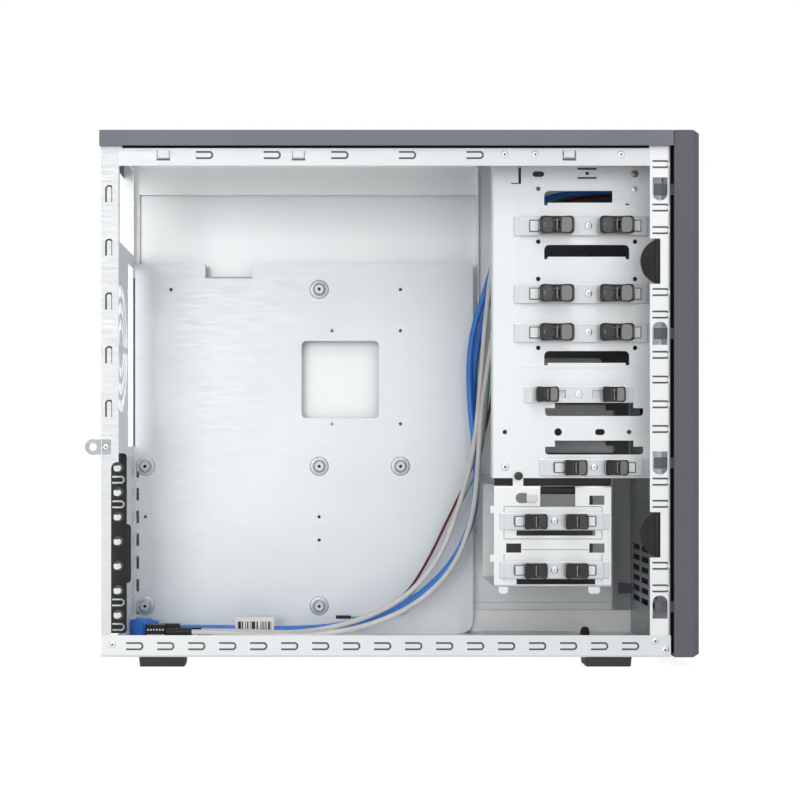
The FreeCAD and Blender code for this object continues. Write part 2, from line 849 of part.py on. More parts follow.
def make_fan_grille(body):
    """Ring slots round a solid hub, bridged by an upright and a level bar."""
    pitch = dim.fan_ring + dim.fan_web
    for index in range(SIZES["fan_ring_count"]):
        inner = dim.fan_hub + pitch * index
        pocket(body, "YZ", rear_wall_x, dim.sheet,
               ring(dim.fan_y, dim.fan_z, inner, RING_SIDES),
               ring(dim.fan_y, dim.fan_z, inner + dim.fan_ring, RING_SIDES))
    reach = dim.fan_hub + pitch * dim.fan_ring_count - dim.fan_web / 2
    half_web = dim.fan_web / 2
    upright = rect(dim.fan_y - half_web, dim.fan_z - reach, dim.fan_y + half_web, dim.fan_z + reach)
    level = rect(dim.fan_y - reach, dim.fan_z - half_web, dim.fan_y + reach, dim.fan_z + half_web)
    pad(body, "YZ", rear_wall_x, dim.sheet, upright)
    pad(body, "YZ", rear_wall_x, dim.sheet, level)


def make_front_panel():
    """The steel front: a wall with bay openings and vents, and a slit flange folded back on each side."""
    body = new_body("front_panel")
    inner_bend = dim.bend_radius - dim.sheet
    section = [
        (front_strip_x, near_y),
        (front_x, near_y, dim.bend_radius),
        (front_x, far_y, dim.bend_radius),
        (front_strip_x, far_y),
        (front_strip_x, far_in_y),
        (front_in_x, far_in_y, inner_bend),
        (front_in_x, near_in_y, inner_bend),
        (front_strip_x, near_in_y),
    ]
    pad(body, "XY", floor_in_z, roof_z - floor_in_z, section)
    near_foot = rect(near_y, floor_in_z, near_y + dim.bend_radius, floor_flange_z)
    far_foot = rect(far_y - dim.bend_radius, floor_in_z, far_y, floor_far_flange_z)
    pocket(body, "YZ", front_strip_x, dim.front_flange, near_foot, far_foot)
    start = front_strip_x + dim.front_slit_inset
    # The slits stand in pairs beside the clip windows and the paddles, with a row between.
    slit_heights = [
        dim.clip_first_z + dim.slit_by_clip,
        dim.paddle_low_z - dim.slit_by_paddle,
        dim.paddle_low_z + dim.slit_by_paddle,
        dim.clip_second_z - dim.slit_by_clip,
        at.clip_third_z + dim.slit_by_clip,
        at.paddle_high_z - dim.slit_by_paddle,
        at.paddle_high_z + dim.slit_by_paddle,
        at.clip_fourth_z - dim.slit_by_clip,
        at.clip_fourth_z + dim.slit_row_pitch,
    ]
    row_top = at.clip_third_z - dim.slit_row_below
    slit_heights += [row_top - dim.slit_row_pitch * index for index in range(SIZES["slit_row_count"])]
    in_groups(pocket, body, "XZ", near_y, dim.sheet, *[slit(start, height) for height in slit_heights])
    windows = []
    half_window = dim.clip_window_height / 2
    window_end = start + dim.clip_window_length
    for index, height in enumerate(clip_heights):
        low, high = height - half_window, height + half_window
        turn = dim.clip_window_round
        if index % 2:
            outline = [(start, low, turn), (window_end, low, turn), (window_end, high), (start, high)]
        else:
            outline = [(start, low), (window_end, low), (window_end, high, turn), (start, high, turn)]
        windows.append(outline)
    half_paddle = dim.paddle_height / 2
    notch_end = front_strip_x + dim.paddle_notch_depth
    notches = [
        rect(front_strip_x, middle - half_paddle, notch_end, middle + half_paddle)
        for middle in (dim.paddle_low_z, at.paddle_high_z)
    ]
    in_groups(pocket, body, "XZ", near_y, dim.sheet, *windows, *notches)
    make_front_openings(body)


def make_front_openings(body):
    """Bay, port and clip openings and the vent rows of the front wall."""
    large_top = at.large_cover_low_z + dim.large_cover_pitch * 2 + dim.large_cover_height
    large = rect(bay_in_y, at.large_cover_low_z, bay_in_y + large_cover_width, large_top)
    small_top = at.small_cover_low_z + dim.small_cover_pitch + dim.small_cover_height
    small = rect(bay_in_y, at.small_cover_low_z, bay_in_y + dim.small_cover_width, small_top)
    half_port = dim.port_window_width / 2
    ports = rect(-half_port, at.port_window_low_z, half_port, at.port_window_high_z)
    half_hole = dim.clip_arm_height / 2 + dim.clip_arm_gap
    near, far = arm_near_y - dim.clip_arm_gap, arm_far_y + dim.clip_arm_gap
    arms = [rect(near, height - half_hole, far, height + half_hole) for height in clip_heights]
    arms += [rect(-far, height - half_hole, -near, height + half_hole) for height in far_clip_heights]
    in_groups(pocket, body, "YZ", front_in_x, dim.sheet, large, small, ports, *arms)
    vents = []
    vent_top = dim.vent_low_z + dim.vent_slot_height
    for column in range(SIZES["vent_columns"]):
        left = dim.vent_first_y + dim.vent_pitch_y * column
        vents.append(rect(left, dim.vent_low_z, left + dim.vent_slot_width, vent_top))
    cut = pocket(body, "YZ", front_in_x, dim.sheet, *vents)
    repeat(body, cut, "Z", dim.vent_pitch_z, dim.vent_rows)


def make_top_frame():
    """The roof sheet with a rail folded down each side; the near rail has slits and hook windows."""
    body = new_body("top_frame")
    inner_bend = dim.bend_radius - dim.sheet
    section = [
        (near_y, at.rail_low_z),
        (near_in_y, at.rail_low_z),
        (near_in_y, roof_z, inner_bend),
        (far_in_y, roof_z, inner_bend),
        (far_in_y, at.rail_low_z),
        (far_y, at.rail_low_z),
        (far_y, cover_in_z, dim.bend_radius),
        (near_y, cover_in_z, dim.bend_radius),
    ]
    pad(body, "YZ", rim_x, front_x - rim_x, section)
    rear_end = rect(rim_x, at.rail_low_z, rear_strip_x, roof_z)
    front_end = rect(front_strip_x, at.rail_low_z, front_x, roof_z)
    pocket(body, "XZ", near_y, far_y - near_y, rear_end, front_end)
    cut = pocket(body, "XZ", near_y, dim.sheet, slit(rim_x + dim.rail_slit_first, at.rail_slit_z))
    repeat(body, cut, "X", dim.rail_slit_pitch, dim.rail_slit_count)
    hooks = []
    for offset in (dim.hook_first, dim.hook_second, dim.hook_third):
        left = rim_x + offset
        hooks.append(rect(left, at.hook_low_z, left + dim.hook_width, at.hook_low_z + dim.hook_height))
    pocket(body, "XZ", near_y, dim.sheet, *hooks)


def make_top_cover():
    """A shallow painted lid with a lip down both sides and the rear."""
    body = new_body("top_cover")
    lip_z = dim.case_height - dim.cover_lip
    front_end = bezel_x - dim.cover_front_gap
    pad(body, "XY", lip_z, dim.cover_lip, rect(rear_x, -half_width, front_end, half_width))
    inside = rect(rear_x + dim.sheet, -half_width + dim.sheet, front_end, half_width - dim.sheet)
    pocket(body, "XY", lip_z, dim.cover_lip - dim.sheet, inside)


def make_right_side_panel():
    """A painted pan closing the right side, with a stiffening rib low on its inside."""
    body = new_body("right_side_panel")
    top_z = dim.case_height - dim.cover_lip - dim.panel_top_gap
    pad(body, "XZ", far_y, dim.panel_recess, rect(rear_x, floor_z, front_x, top_z))
    inside = rect(rear_x + dim.sheet, floor_in_z, front_x - dim.sheet, top_z - dim.sheet)
    pocket(body, "XZ", far_y, dim.panel_recess - dim.sheet, inside)
    rib_low = dim.panel_rib_z - dim.panel_rib_height / 2
    rib = rect(rear_strip_x, rib_low, front_strip_x, rib_low + dim.panel_rib_height, dim.panel_rib_round)
    pad(body, "XZ", half_width - dim.sheet - dim.panel_rib_depth, dim.panel_rib_depth, rib)


def make_motherboard_tray():
    """A shallow pan that carries the board: raised standoffs, a processor window and card-tongue slots."""
    body = new_body("motherboard_tray")
    left = rear_wall_in_x
    outline = [
        (left, floor_in_z),
        (tray_front_x, floor_in_z, dim.tray_corner),
        (tray_front_x, dim.tray_top_z),
        (left, dim.tray_top_z),
    ]
    pad(body, "XZ", tray_y, dim.tray_depth, outline)
    inside = [
        (left + dim.sheet, floor_in_z + dim.sheet),
        (tray_front_x - dim.sheet, floor_in_z + dim.sheet, dim.tray_corner - dim.sheet),
        (tray_front_x - dim.sheet, dim.tray_top_z - dim.sheet),
        (left + dim.sheet, dim.tray_top_z - dim.sheet),
    ]
    pocket(body, "XZ", tray_y + dim.sheet, dim.tray_depth - dim.sheet, inside)
    big = [(board_x, board_top_z)]
    for height in (board_mid_z, dim.board_low_z):
        big += [(x, height) for x in (board_rear_x, board_x, board_front_x)]
    small = [(board_rear_x + dim.board_top_rear_shift, board_top_z), (board_front_x, board_top_z)]
    rings = [ring(x, z, dim.standoff_ring, BOSS_SIDES) for x, z in big]
    in_groups(pad, body, "XZ", tray_y - dim.standoff_ring_rise, dim.standoff_ring_rise, *rings)
    cone_y = tray_y - dim.standoff_rise
    tops = [ring(x, z, dim.standoff_tip, BOSS_SIDES) for x, z in big]
    in_groups(pad, body, "XZ", cone_y, dim.standoff_rise - dim.standoff_ring_rise, *tops,
              taper=dim.standoff_taper)
    screwed = [(x, z) for x in (board_rear_x, board_front_x) for z in (board_mid_z, dim.board_low_z)]
    screwed_holes = [circle(x, z, dim.standoff_hole) for x, z in screwed]
    pocket(body, "XZ", cone_y, dim.standoff_rise + dim.sheet, *screwed_holes)
    plain = small + [(board_x, z) for z in (board_top_z, board_mid_z, dim.board_low_z)]
    plain_holes = [ring(x, z, dim.standoff_hole, HOLE_SIDES) for x, z in plain]
    in_groups(pocket, body, "XZ", cone_y, dim.standoff_rise + dim.sheet, *plain_holes)
    spare = [
        (board_rear_x, dim.spare_hole_mid_z),
        (board_x, dim.spare_hole_mid_z),
        (board_x, dim.spare_hole_low_z),
    ]
    for x in (cpu_window_x + dim.spare_hole_rear, cpu_window_x + dim.spare_hole_front):
        spare.append((x, dim.cpu_window_z - dim.spare_hole_below))
        spare.append((x, dim.cpu_window_z + dim.spare_hole_above))
    spare_holes = [ring(x, z, dim.spare_hole, HOLE_SIDES) for x, z in spare]
    in_groups(pocket, body, "XZ", tray_y, dim.sheet, *spare_holes)
    cpu = rect(cpu_window_x, dim.cpu_window_z, cpu_window_x + dim.cpu_window,
               dim.cpu_window_z + dim.cpu_window, dim.cpu_window_round)
    notch_right = tray_notch_x + dim.tray_notch_width
    notch = rect(tray_notch_x, dim.tray_top_z - dim.tray_notch_depth, notch_right, dim.tray_top_z)
    pocket(body, "XZ", tray_y, dim.tray_depth, cpu, notch)
    slot_left = left + dim.tongue_slot_inset
    half_slot = dim.tongue_slot_height / 2
    slot = rect(slot_left, dim.tongue_first_z - half_slot, slot_left + dim.tongue_slot_width,
                dim.tongue_first_z + half_slot)
    cut = pocket(body, "XZ", tray_y, dim.sheet, slot)
    repeat(body, cut, "Z", dim.slot_pitch, dim.slot_count, backwards=True)


# Drive bays


def bay_slots():
    """Outlines of the five lanced drive slots, and of the shelf tongue bent in under each."""
    slots = []
    shelves = []
    left = at.bay_slot_x
    right = left + dim.bay_slot_length
    for low in (at.bay_slot_low_z, at.bay_slot_mid_z, at.bay_slot_high_z):
        high = low + dim.bay_slot_height
        slots.append([
            (left, low - dim.bay_leg_depth),
            (left + dim.bay_leg, low - dim.bay_leg_depth),
            (left + dim.bay_leg, low),
            (right - dim.bay_leg, low),
            (right - dim.bay_leg, low - dim.bay_leg_depth),
            (right, low - dim.bay_leg_depth),
            (right, high, dim.bay_slot_round),
            (left, high, dim.bay_slot_round),
        ])
        shelves.append(rect(left + dim.bay_leg, low - dim.sheet, right - dim.bay_leg, low))
    left = at.small_slot_x
    right = left + dim.small_slot_length
    for low in (at.small_slot_low_z, at.small_slot_high_z):
        high = low + dim.small_slot_height
        slots.append([
            (left, low, dim.small_slot_round),
            (right, low, dim.small_slot_round),
            (right, high - dim.small_slot_step),
            (right - dim.small_slot_end, high - dim.small_slot_step),
            (right - dim.small_slot_end, high),
            (left + dim.small_slot_end, high),
            (left + dim.small_slot_end, high - dim.small_slot_step),
            (left, high - dim.small_slot_step),
        ])
        shelves.append(rect(left + dim.small_slot_end, high, right - dim.small_slot_end, high + dim.sheet))
    return slots, shelves


def make_drive_bay_near_wall():
    """The pierced wall beside the bays, folded at its rear, top and front edges."""
    body = new_body("drive_bay_near_wall")
    inner_bend = dim.bend_radius - dim.sheet
    flange_y = bay_in_y + dim.bay_flange
    section = [
        (bay_x, bay_y, dim.bend_radius),
        (front_in_x - dim.sheet, bay_y),
        (front_in_x - dim.sheet, bay_y - dim.bay_flange),
        (front_in_x, bay_y - dim.bay_flange),
        (front_in_x, bay_in_y),
        (bay_x + dim.sheet, bay_in_y, inner_bend),
        (bay_x + dim.sheet, flange_y),
        (bay_x, flange_y),
    ]
    pad(body, "XY", at.bay_low_z, roof_z - at.bay_low_z, section)
    roof_flange = rect(bay_x + dim.sheet, bay_in_y, front_in_x, flange_y)
    pad(body, "XY", roof_z - dim.sheet, dim.sheet, roof_flange)
    pad(body, "XY", at.bay_low_z, dim.sheet, roof_flange)
    emboss = [
        (at.bay_emboss_x, at.bay_emboss_z, dim.bay_emboss_round),
        (front_in_x - dim.sheet, at.bay_emboss_z),
        (front_in_x - dim.sheet, roof_z),
        (at.bay_emboss_x, roof_z),
    ]
    pad(body, "XZ", emboss_y, dim.bay_emboss_rise, emboss)
    slots, shelves = bay_slots()
    through = bay_in_y - emboss_y
    columns = (at.bay_hole_rear_x, at.bay_hole_front_x)
    spots = [
        (x, height + dim.bay_hole_rise)
        for x in columns
        for height in (at.bay_slot_low_z, at.large_strip_mid_z, at.bay_slot_mid_z)
    ]
    spots += [(x, at.bay_top_hole_z) for x in columns]
    spots += [(x, at.bay_low_hole_z) for x in (at.bay_low_hole_rear_x, at.bay_low_hole_front_x)]
    holes = [ring(x, z, dim.bay_hole, HOLE_SIDES) for x, z in spots]
    key_hole = ring(at.bay_key_hole_x, at.bay_low_hole_z, dim.bay_key_hole, BOSS_SIDES)
    oval_low = at.bay_low_hole_z - dim.bay_oval_height / 2
    oval = rect(at.bay_oval_x, oval_low, at.bay_oval_x + dim.bay_oval_length,
                oval_low + dim.bay_oval_height, dim.bay_hole)
    window_right = at.bay_window_x + dim.bay_window_width
    window_top = at.bay_window_z + dim.bay_window_height
    window = rect(at.bay_window_x, at.bay_window_z, window_right, window_top)
    in_groups(pocket, body, "XZ", emboss_y, through, *slots, window)
    in_groups(pocket, body, "XZ", emboss_y, through, *holes, key_hole, oval)
    in_groups(pad, body, "XZ", bay_in_y, dim.bay_shelf_reach, *shelves)
    bridge = rect(at.bay_bridge_x, at.bay_bridge_z, at.bay_bridge_x + dim.bay_bridge_length,
                  at.bay_bridge_z + dim.bay_bridge_height, dim.bay_hole)
    pad(body, "XZ", emboss_y - dim.bay_bridge_rise, dim.bay_bridge_rise, bridge)


def make_drive_bay_far_wall():
    """The plainer wall on the bays' far side, standing against the case's far flanges."""
    body = new_body("drive_bay_far_wall")
    flange_y = bay_far_y - dim.bay_flange
    section = [
        (bay_x, flange_y),
        (bay_x + dim.sheet, flange_y),
        (bay_x + dim.sheet, bay_far_y),
        (front_in_x - dim.bend_radius, bay_far_y),
        (front_in_x - dim.bend_radius, bay_far_y + dim.sheet),
        (bay_x, bay_far_y + dim.sheet),
    ]
    top_z = roof_z - dim.bend_radius
    pad(body, "XY", at.bay_low_z, top_z - at.bay_low_z, section)
    slots, shelves = bay_slots()
    in_groups(pocket, body, "XZ", bay_far_y, dim.sheet, *slots)
    in_groups(pad, body, "XZ", bay_far_y - dim.bay_shelf_reach, dim.bay_shelf_reach, *shelves)


def make_hdd_cage():
    """A sheet box open at both ends, hung from the bay wall by a screwed tab."""
    body = new_body("hdd_cage")
    far = cage_y + dim.cage_width
    outer = rect(cage_y, at.cage_low_z, far, cage_top_z, dim.bend_radius)
    inner = rect(cage_y + dim.sheet, at.cage_low_z + dim.sheet, far - dim.sheet, cage_top_z - dim.sheet,
                 dim.bend_radius - dim.sheet)
    pad(body, "YZ", at.cage_rear_x, dim.cage_length, outer, inner)
    tab_right = at.cage_tab_x + dim.cage_tab_width
    tab_low = cage_top_z - dim.bend_radius
    pad(body, "XZ", cage_y, dim.sheet, rect(at.cage_tab_x, tab_low, tab_right, at.cage_tab_top_z))
    notch_low = cage_top_z - dim.cage_notch_depth
    notch = rect(at.cage_notch_x, notch_low, at.cage_notch_x + dim.cage_notch_width, cage_top_z)
    pocket(body, "XZ", cage_y, dim.bend_radius, notch)
    windows = []
    spots = [
        (at.cage_window_rear_x, at.cage_window_low_z),
        (at.cage_window_front_x, at.cage_window_low_z),
        (at.cage_window_front_x, at.cage_window_high_z),
    ]
    for x, z in spots:
        windows.append(rect(x, z, x + dim.cage_window_width, z + dim.cage_window_height))
    for z in (at.cage_slot_low_z, at.cage_slot_high_z):
        right = at.cage_slot_x + dim.cage_slot_length
        windows.append(rect(at.cage_slot_x, z, right, z + dim.cage_slot_height))
    in_groups(pocket, body, "XZ", cage_y, dim.sheet, *windows)
    hook_left = at.cage_rear_x - dim.cage_hook_reach
    hooks = [
        rect(hook_left, low, at.cage_rear_x, low + dim.cage_hook_height)
        for low in (at.cage_hook_low_z, at.cage_hook_high_z)
    ]
    pad(body, "XZ", cage_y, dim.sheet, *hooks)


def make_cage_fittings():
    """Pull handle in the cage's notch, its latch tab, and the screw through the hanging tab."""
    handle = new_body("hdd_cage_handle")
    left = at.cage_notch_x + dim.seat_gap
    right = left + dim.cage_notch_width - dim.seat_gap * 2
    low = cage_top_z - dim.handle_height
    front = cage_y - dim.sheet
    bar = rect(front, low, front + dim.handle_reach, cage_top_z - dim.sheet, dim.handle_round)
    pad(handle, "YZ", left, right - left, bar)
    foot_z = cage_top_z - dim.cage_notch_depth
    foot = rect(left, foot_z, left + dim.handle_foot, low + dim.handle_round)
    other_foot = rect(right - dim.handle_foot, foot_z, right, low + dim.handle_round)
    pad(handle, "XZ", cage_y, dim.sheet, foot, other_foot)
    latch = new_body("hdd_cage_latch")
    outline = rect(at.latch_x, at.latch_z, at.latch_x + dim.latch_length, at.latch_z + dim.latch_height,
                   dim.latch_round)
    pad(latch, "XZ", cage_y - dim.latch_rise, dim.latch_rise, outline)
    screw = new_body("hdd_cage_screw")
    screw_x = at.cage_tab_x + dim.cage_tab_width / 2
    head = ring(screw_x, at.cage_screw_z, dim.cage_screw_head, BOSS_SIDES)
    pad(screw, "XZ", cage_y - dim.cage_screw_rise, dim.cage_screw_rise, head)


# Tool-free drive locks


def make_strip(label, seat_y, left, length, middle_z, height, slots, slot_height):
    """A raised strip with a foot at each end and one slot for each lock button."""
    body = new_body(label)
    right = left + length
    thick = dim.strip_thickness
    back = seat_y - dim.strip_raise
    section = [
        (left, seat_y),
        (left, seat_y - thick),
        (left + dim.strip_foot, seat_y - thick),
        (left + dim.strip_foot, back - thick),
        (right - dim.strip_foot, back - thick),
        (right - dim.strip_foot, seat_y - thick),
        (right, seat_y - thick),
        (right, seat_y),
        (right - dim.strip_foot - thick, seat_y),
        (right - dim.strip_foot - thick, back),
        (left + dim.strip_foot + thick, back),
        (left + dim.strip_foot + thick, seat_y),
    ]
    pad(body, "XY", middle_z - height / 2, height, section)
    half = slot_height / 2 + dim.seat_gap
    cuts = [rect(start, middle_z - half, end, middle_z + half) for start, end in slots]
    pocket(body, "XZ", back - thick, thick, *cuts)


def make_lock(label, seat_y, middle_x, middle_z, length, height, depth, slot_height):
    """A waisted slide button: a head with two finger hollows, a neck in the slot and a foot behind it."""
    body = new_body(label)
    face = seat_y - dim.strip_raise - dim.strip_thickness
    head_back = face - dim.lock_gap
    head_front = head_back - depth
    foot_back = seat_y - dim.lock_gap
    foot_front = foot_back - dim.lock_foot_thickness
    left, right = middle_x - length / 2, middle_x + length / 2
    low, high = middle_z - height / 2, middle_z + height / 2
    corner = dim.lock_corner
    waist = dim.lock_waist
    outline = [
        (left + corner, low),
        (middle_x, low + waist),
        (right - corner, low),
        (right, low + corner),
        (right, high - corner),
        (right - corner, high),
        (middle_x, high - waist),
        (left + corner, high),
        (left, high - corner),
        (left, low + corner),
    ]
    pad(body, "XZ", head_front, depth, outline)
    neck = lock_neck(middle_x, length)
    half = slot_height / 2
    pad(body, "XZ", head_back, foot_front - head_back,
        rect(neck[0], middle_z - half, neck[1], middle_z + half))
    half_foot = half + dim.lock_foot_overlap
    pad(body, "XZ", foot_front, foot_back - foot_front,
        rect(neck[0], middle_z - half_foot, neck[1], middle_z + half_foot))
    rim, ridge = dim.lock_rim, dim.lock_ridge
    scoop_floor = head_front + dim.lock_hollow
    scoop_rear = [
        (left + rim, head_front),
        (middle_x - ridge, head_front),
        (middle_x - ridge * 2, scoop_floor),
        (left + rim * 2, scoop_floor),
    ]
    scoop_front = [(middle_x + middle_x - x, y) for x, y in scoop_rear]
    pocket(body, "XY", low, height, scoop_rear, scoop_front)


def lock_neck(middle_x, length):
    """The ends of a lock's neck, a little inside its head."""
    inset = dim.lock_foot_overlap
    return middle_x - length / 2 + inset, middle_x + length / 2 - inset


def make_lock_pair(name, seat_y, strip_x, strip_z, large, rear_x, front_x_lock, travel, outward):
    """One strip with its rear and front lock; the slots leave each lock its travel."""
    kind = "large" if large else "small"
    length = getattr(dim, f"{kind}_lock_length")
    height = getattr(dim, f"{kind}_lock_height")
    depth = getattr(dim, f"{kind}_lock_depth")
    slot_height = getattr(dim, f"{kind}_lock_slot")
    slots = []
    for middle, moves_back in ((rear_x, outward), (front_x_lock, not outward)):
        start, end = lock_neck(middle, length)
        if moves_back:
            start = start - travel
        else:
            end = end + travel
        slots.append((start - dim.seat_gap, end + dim.seat_gap))
    strip_length = getattr(dim, f"{kind}_strip_length")
    strip_height = getattr(dim, f"{kind}_strip_height")
    make_strip(f"{name}_lock_strip", seat_y, strip_x, strip_length, strip_z, strip_height, slots, slot_height)
    make_lock(f"{name}_lock_rear", seat_y, rear_x, strip_z, length, height, depth, slot_height)
    make_lock(f"{name}_lock_front", seat_y, front_x_lock, strip_z, length, height, depth, slot_height)


def make_drive_locks():
    """Three large pairs, two small pairs on the bay wall and two on the hard-drive cage."""
    heights = {
        "bay_one": at.large_strip_top_z,
        "bay_two": at.large_strip_mid_z,
        "bay_three": at.large_strip_low_z,
    }
    for name, height in heights.items():
        make_lock_pair(name, emboss_y, at.large_strip_x, height, True, at.large_lock_rear_x,
                       at.large_lock_front_x, dim.large_lock_travel, True)
    make_lock_pair("small_bay_one", bay_y, at.inward_strip_x, at.inward_strip_z, False,
                   at.inward_lock_rear_x, at.inward_lock_front_x, dim.inward_lock_travel, False)
    make_lock_pair("small_bay_two", bay_y, at.outward_strip_x, at.outward_strip_z, False,
                   at.outward_lock_rear_x, at.outward_lock_front_x, dim.outward_lock_travel, True)
    for name, height in {"cage_one": at.cage_strip_high_z, "cage_two": at.cage_strip_low_z}.items():
        make_lock_pair(name, cage_y, at.cage_strip_x, height, False, at.cage_lock_rear_x,
                       at.cage_lock_front_x, dim.cage_lock_travel, True)


# Card slots and padlock loop


def make_slot_covers():
    """Seven blank covers: a blade inside the wall and a tab bent out over the shelf."""
    body = new_body("slot_covers")
    tab_y = slot_shelf_y - dim.sheet * 2
    blade_x = rear_wall_in_x + dim.sheet
    section = [
        (rear_wall_x - dim.slot_tab_reach + dim.sheet * 2, tab_y),
        (blade_x, tab_y),
        (blade_x, slot_far_y + dim.slot_cover_far),
        (rear_wall_in_x, slot_far_y + dim.slot_cover_far),
        (rear_wall_in_x, tab_y + dim.sheet),
        (rear_wall_x - dim.slot_tab_reach + dim.sheet * 2, tab_y + dim.sheet),
    ]
    low = dim.slot_first_z - dim.slot_cover_height / 2
    blade = pad(body, "XY", low, dim.slot_cover_height, section)
    repeat(body, blade, "Z", dim.slot_pitch, dim.slot_count, backwards=True)


def make_card_retainer():
    """A black strip that holds the covers' tabs, with one hole over each and a wider middle."""
    body = new_body("card_retainer")
    left = rim_x + dim.retainer_left
    right = left + dim.retainer_width
    wide = left + dim.retainer_bulge
    turn = dim.retainer_round
    outline = [
        (left, dim.retainer_low),
        (right, dim.retainer_low, turn),
        (right, dim.retainer_bulge_low),
        (wide, dim.retainer_bulge_low, turn),
        (wide, dim.retainer_bulge_high, turn),
        (right, dim.retainer_bulge_high),
        (right, dim.retainer_high, turn),
        (left, dim.retainer_high),
    ]
    back = slot_shelf_y - dim.sheet * 2
    start = back - dim.retainer_thickness
    pad(body, "XZ", start, dim.retainer_thickness, outline)
    hole = ring(left + dim.retainer_width / 2, dim.slot_first_z, dim.retainer_hole, BOSS_SIDES)
    cut = pocket(body, "XZ", start, dim.retainer_thickness, hole)
    repeat(body, cut, "Z", dim.slot_pitch, dim.slot_count, backwards=True)
    # A sprung tongue stands half a pitch below each hole outside the wide middle.
    tongue_x = left + dim.retainer_slit_inset
    tongues = [
        slit(tongue_x, dim.slot_first_z - dim.slot_pitch * (index + 0.5), dim.retainer_slit)
        for index in (0, 1, 5, 6)
    ]
    pocket(body, "XZ", start, dim.retainer_thickness, *tongues)


def make_padlock_loop():
    """A ring on a flat tab that is riveted inside the rear rim and reaches out behind it."""
    body = new_body("padlock_loop")
    ring_x = rear_x - dim.loop_reach + dim.loop_radius
    tab_right = rim_x + dim.sheet * 2 + dim.loop_window
    half = dim.loop_tab_height / 2
    pad(body, "XZ", near_in_y, dim.sheet, ring(ring_x, dim.loop_z, dim.loop_radius, RING_SIDES))
    pad(body, "XZ", near_in_y, dim.sheet, rect(ring_x, dim.loop_z - half, tab_right, dim.loop_z + half))
    pocket(body, "XZ", near_in_y, dim.sheet, ring(ring_x, dim.loop_z, dim.loop_hole, BOSS_SIDES))


# Front bezel and what it carries


def large_cover_spans():
    """Low and high edge of each large bay cover."""
    lows = [at.large_cover_low_z + dim.large_cover_pitch * index for index in range(3)]
    return [(low, low + dim.large_cover_height) for low in lows]


def small_cover_spans():
    """Low and high edge of each small bay cover."""
    lows = [at.small_cover_low_z + dim.small_cover_pitch * index for index in range(2)]
    return [(low, low + dim.small_cover_height) for low in lows]


def make_front_bezel():
    """A moulded shell with a bevelled nose, bay openings, a slotted intake and snap arms."""
    body = new_body("front_bezel")
    bevel_x = nose_x - dim.bezel_bevel
    nose_y = half_width - dim.bezel_bevel_inset
    top = dim.case_height
    section = [
        (bezel_x, -half_width),
        (bevel_x, -half_width),
        (nose_x, -nose_y),
        (nose_x, nose_y),
        (bevel_x, half_width),
        (bezel_x, half_width),
    ]
    pad(body, "XY", dim.bezel_low_z, top - dim.bezel_low_z, section)
    top_slope = [(bevel_x, top), (nose_x, top - dim.bezel_top_slope), (nose_x, top)]
    low_slope = [
        (bevel_x, dim.bezel_low_z),
        (nose_x, dim.bezel_low_z),
        (nose_x, dim.bezel_low_z + dim.bezel_top_slope),
    ]
    pocket(body, "XZ", -half_width, dim.case_width, top_slope, low_slope)
    inner_y = half_width - dim.bezel_wall
    inner_nose_y = nose_y - dim.bezel_wall / 2
    hollow = [
        (bezel_x, -inner_y),
        (bevel_x - dim.bezel_wall / 2, -inner_y),
        (bezel_in_x, -inner_nose_y),
        (bezel_in_x, inner_nose_y),
        (bevel_x - dim.bezel_wall / 2, inner_y),
        (bezel_x, inner_y),
    ]
    low = dim.bezel_low_z + dim.bezel_wall
    pocket(body, "XY", low, top - dim.bezel_top_slope - dim.bezel_wall - low, hollow)
    gap = dim.cover_gap
    left = bay_in_y
    openings = []
    rows = ((large_cover_width, large_cover_spans()), (dim.small_cover_width, small_cover_spans()))
    for width, spans in rows:
        openings += [rect(left - gap, start - gap, left + width + gap, end + gap) for start, end in spans]
    openings.append(ring(power_y, at.button_z, dim.power_radius + gap, RING_SIDES))
    openings.append(ring(reset_y, at.button_z, dim.reset_radius + gap, BOSS_SIDES))
    openings += [port_outline(index, dim.port_gap) for index in range(SIZES["port_count"])]
    in_groups(pocket, body, "YZ", bezel_in_x, dim.bezel_wall, *openings)
    half_slot = dim.grille_slot_width / 2
    first = rect(-half_slot, dim.grille_low_z, half_slot, dim.grille_low_z + dim.grille_slot_height)
    cut = pocket(body, "YZ", bezel_in_x, dim.bezel_wall, first)
    repeat(body, cut, "Z", dim.grille_pitch, dim.grille_count)
    add_bezel_arms(body)


def add_bezel_arms(body):
    """Snap arms that hook into the front panel's windows, and posts that rest on its wall."""
    half = dim.clip_arm_height / 2
    arms = [rect(at.clip_arm_end_x, height - half, bezel_in_x, height + half) for height in clip_heights]
    pad(body, "XZ", arm_near_y, dim.clip_arm_thickness, *arms)
    far_arms = [
        rect(at.clip_arm_end_x, height - half, bezel_in_x, height + half)
        for height in far_clip_heights
    ]
    pad(body, "XZ", -arm_far_y, dim.clip_arm_thickness, *far_arms)
    hook_end = at.clip_arm_end_x + dim.clip_hook_length
    hooks = [rect(at.clip_arm_end_x, height - half, hook_end, height + half) for height in clip_heights]
    pad(body, "XZ", arm_near_y - dim.clip_hook_reach, dim.clip_hook_reach, *hooks)
    posts = [
        ring(y, z, dim.bezel_post / 2, HOLE_SIDES)
        for y, z in (
            (-bezel_post_y, dim.paddle_low_z),
            (-bezel_post_y, at.paddle_high_z),
            (bezel_post_y, dim.paddle_low_z),
        )
    ]
    pad(body, "YZ", front_x, bezel_in_x - front_x, *posts)


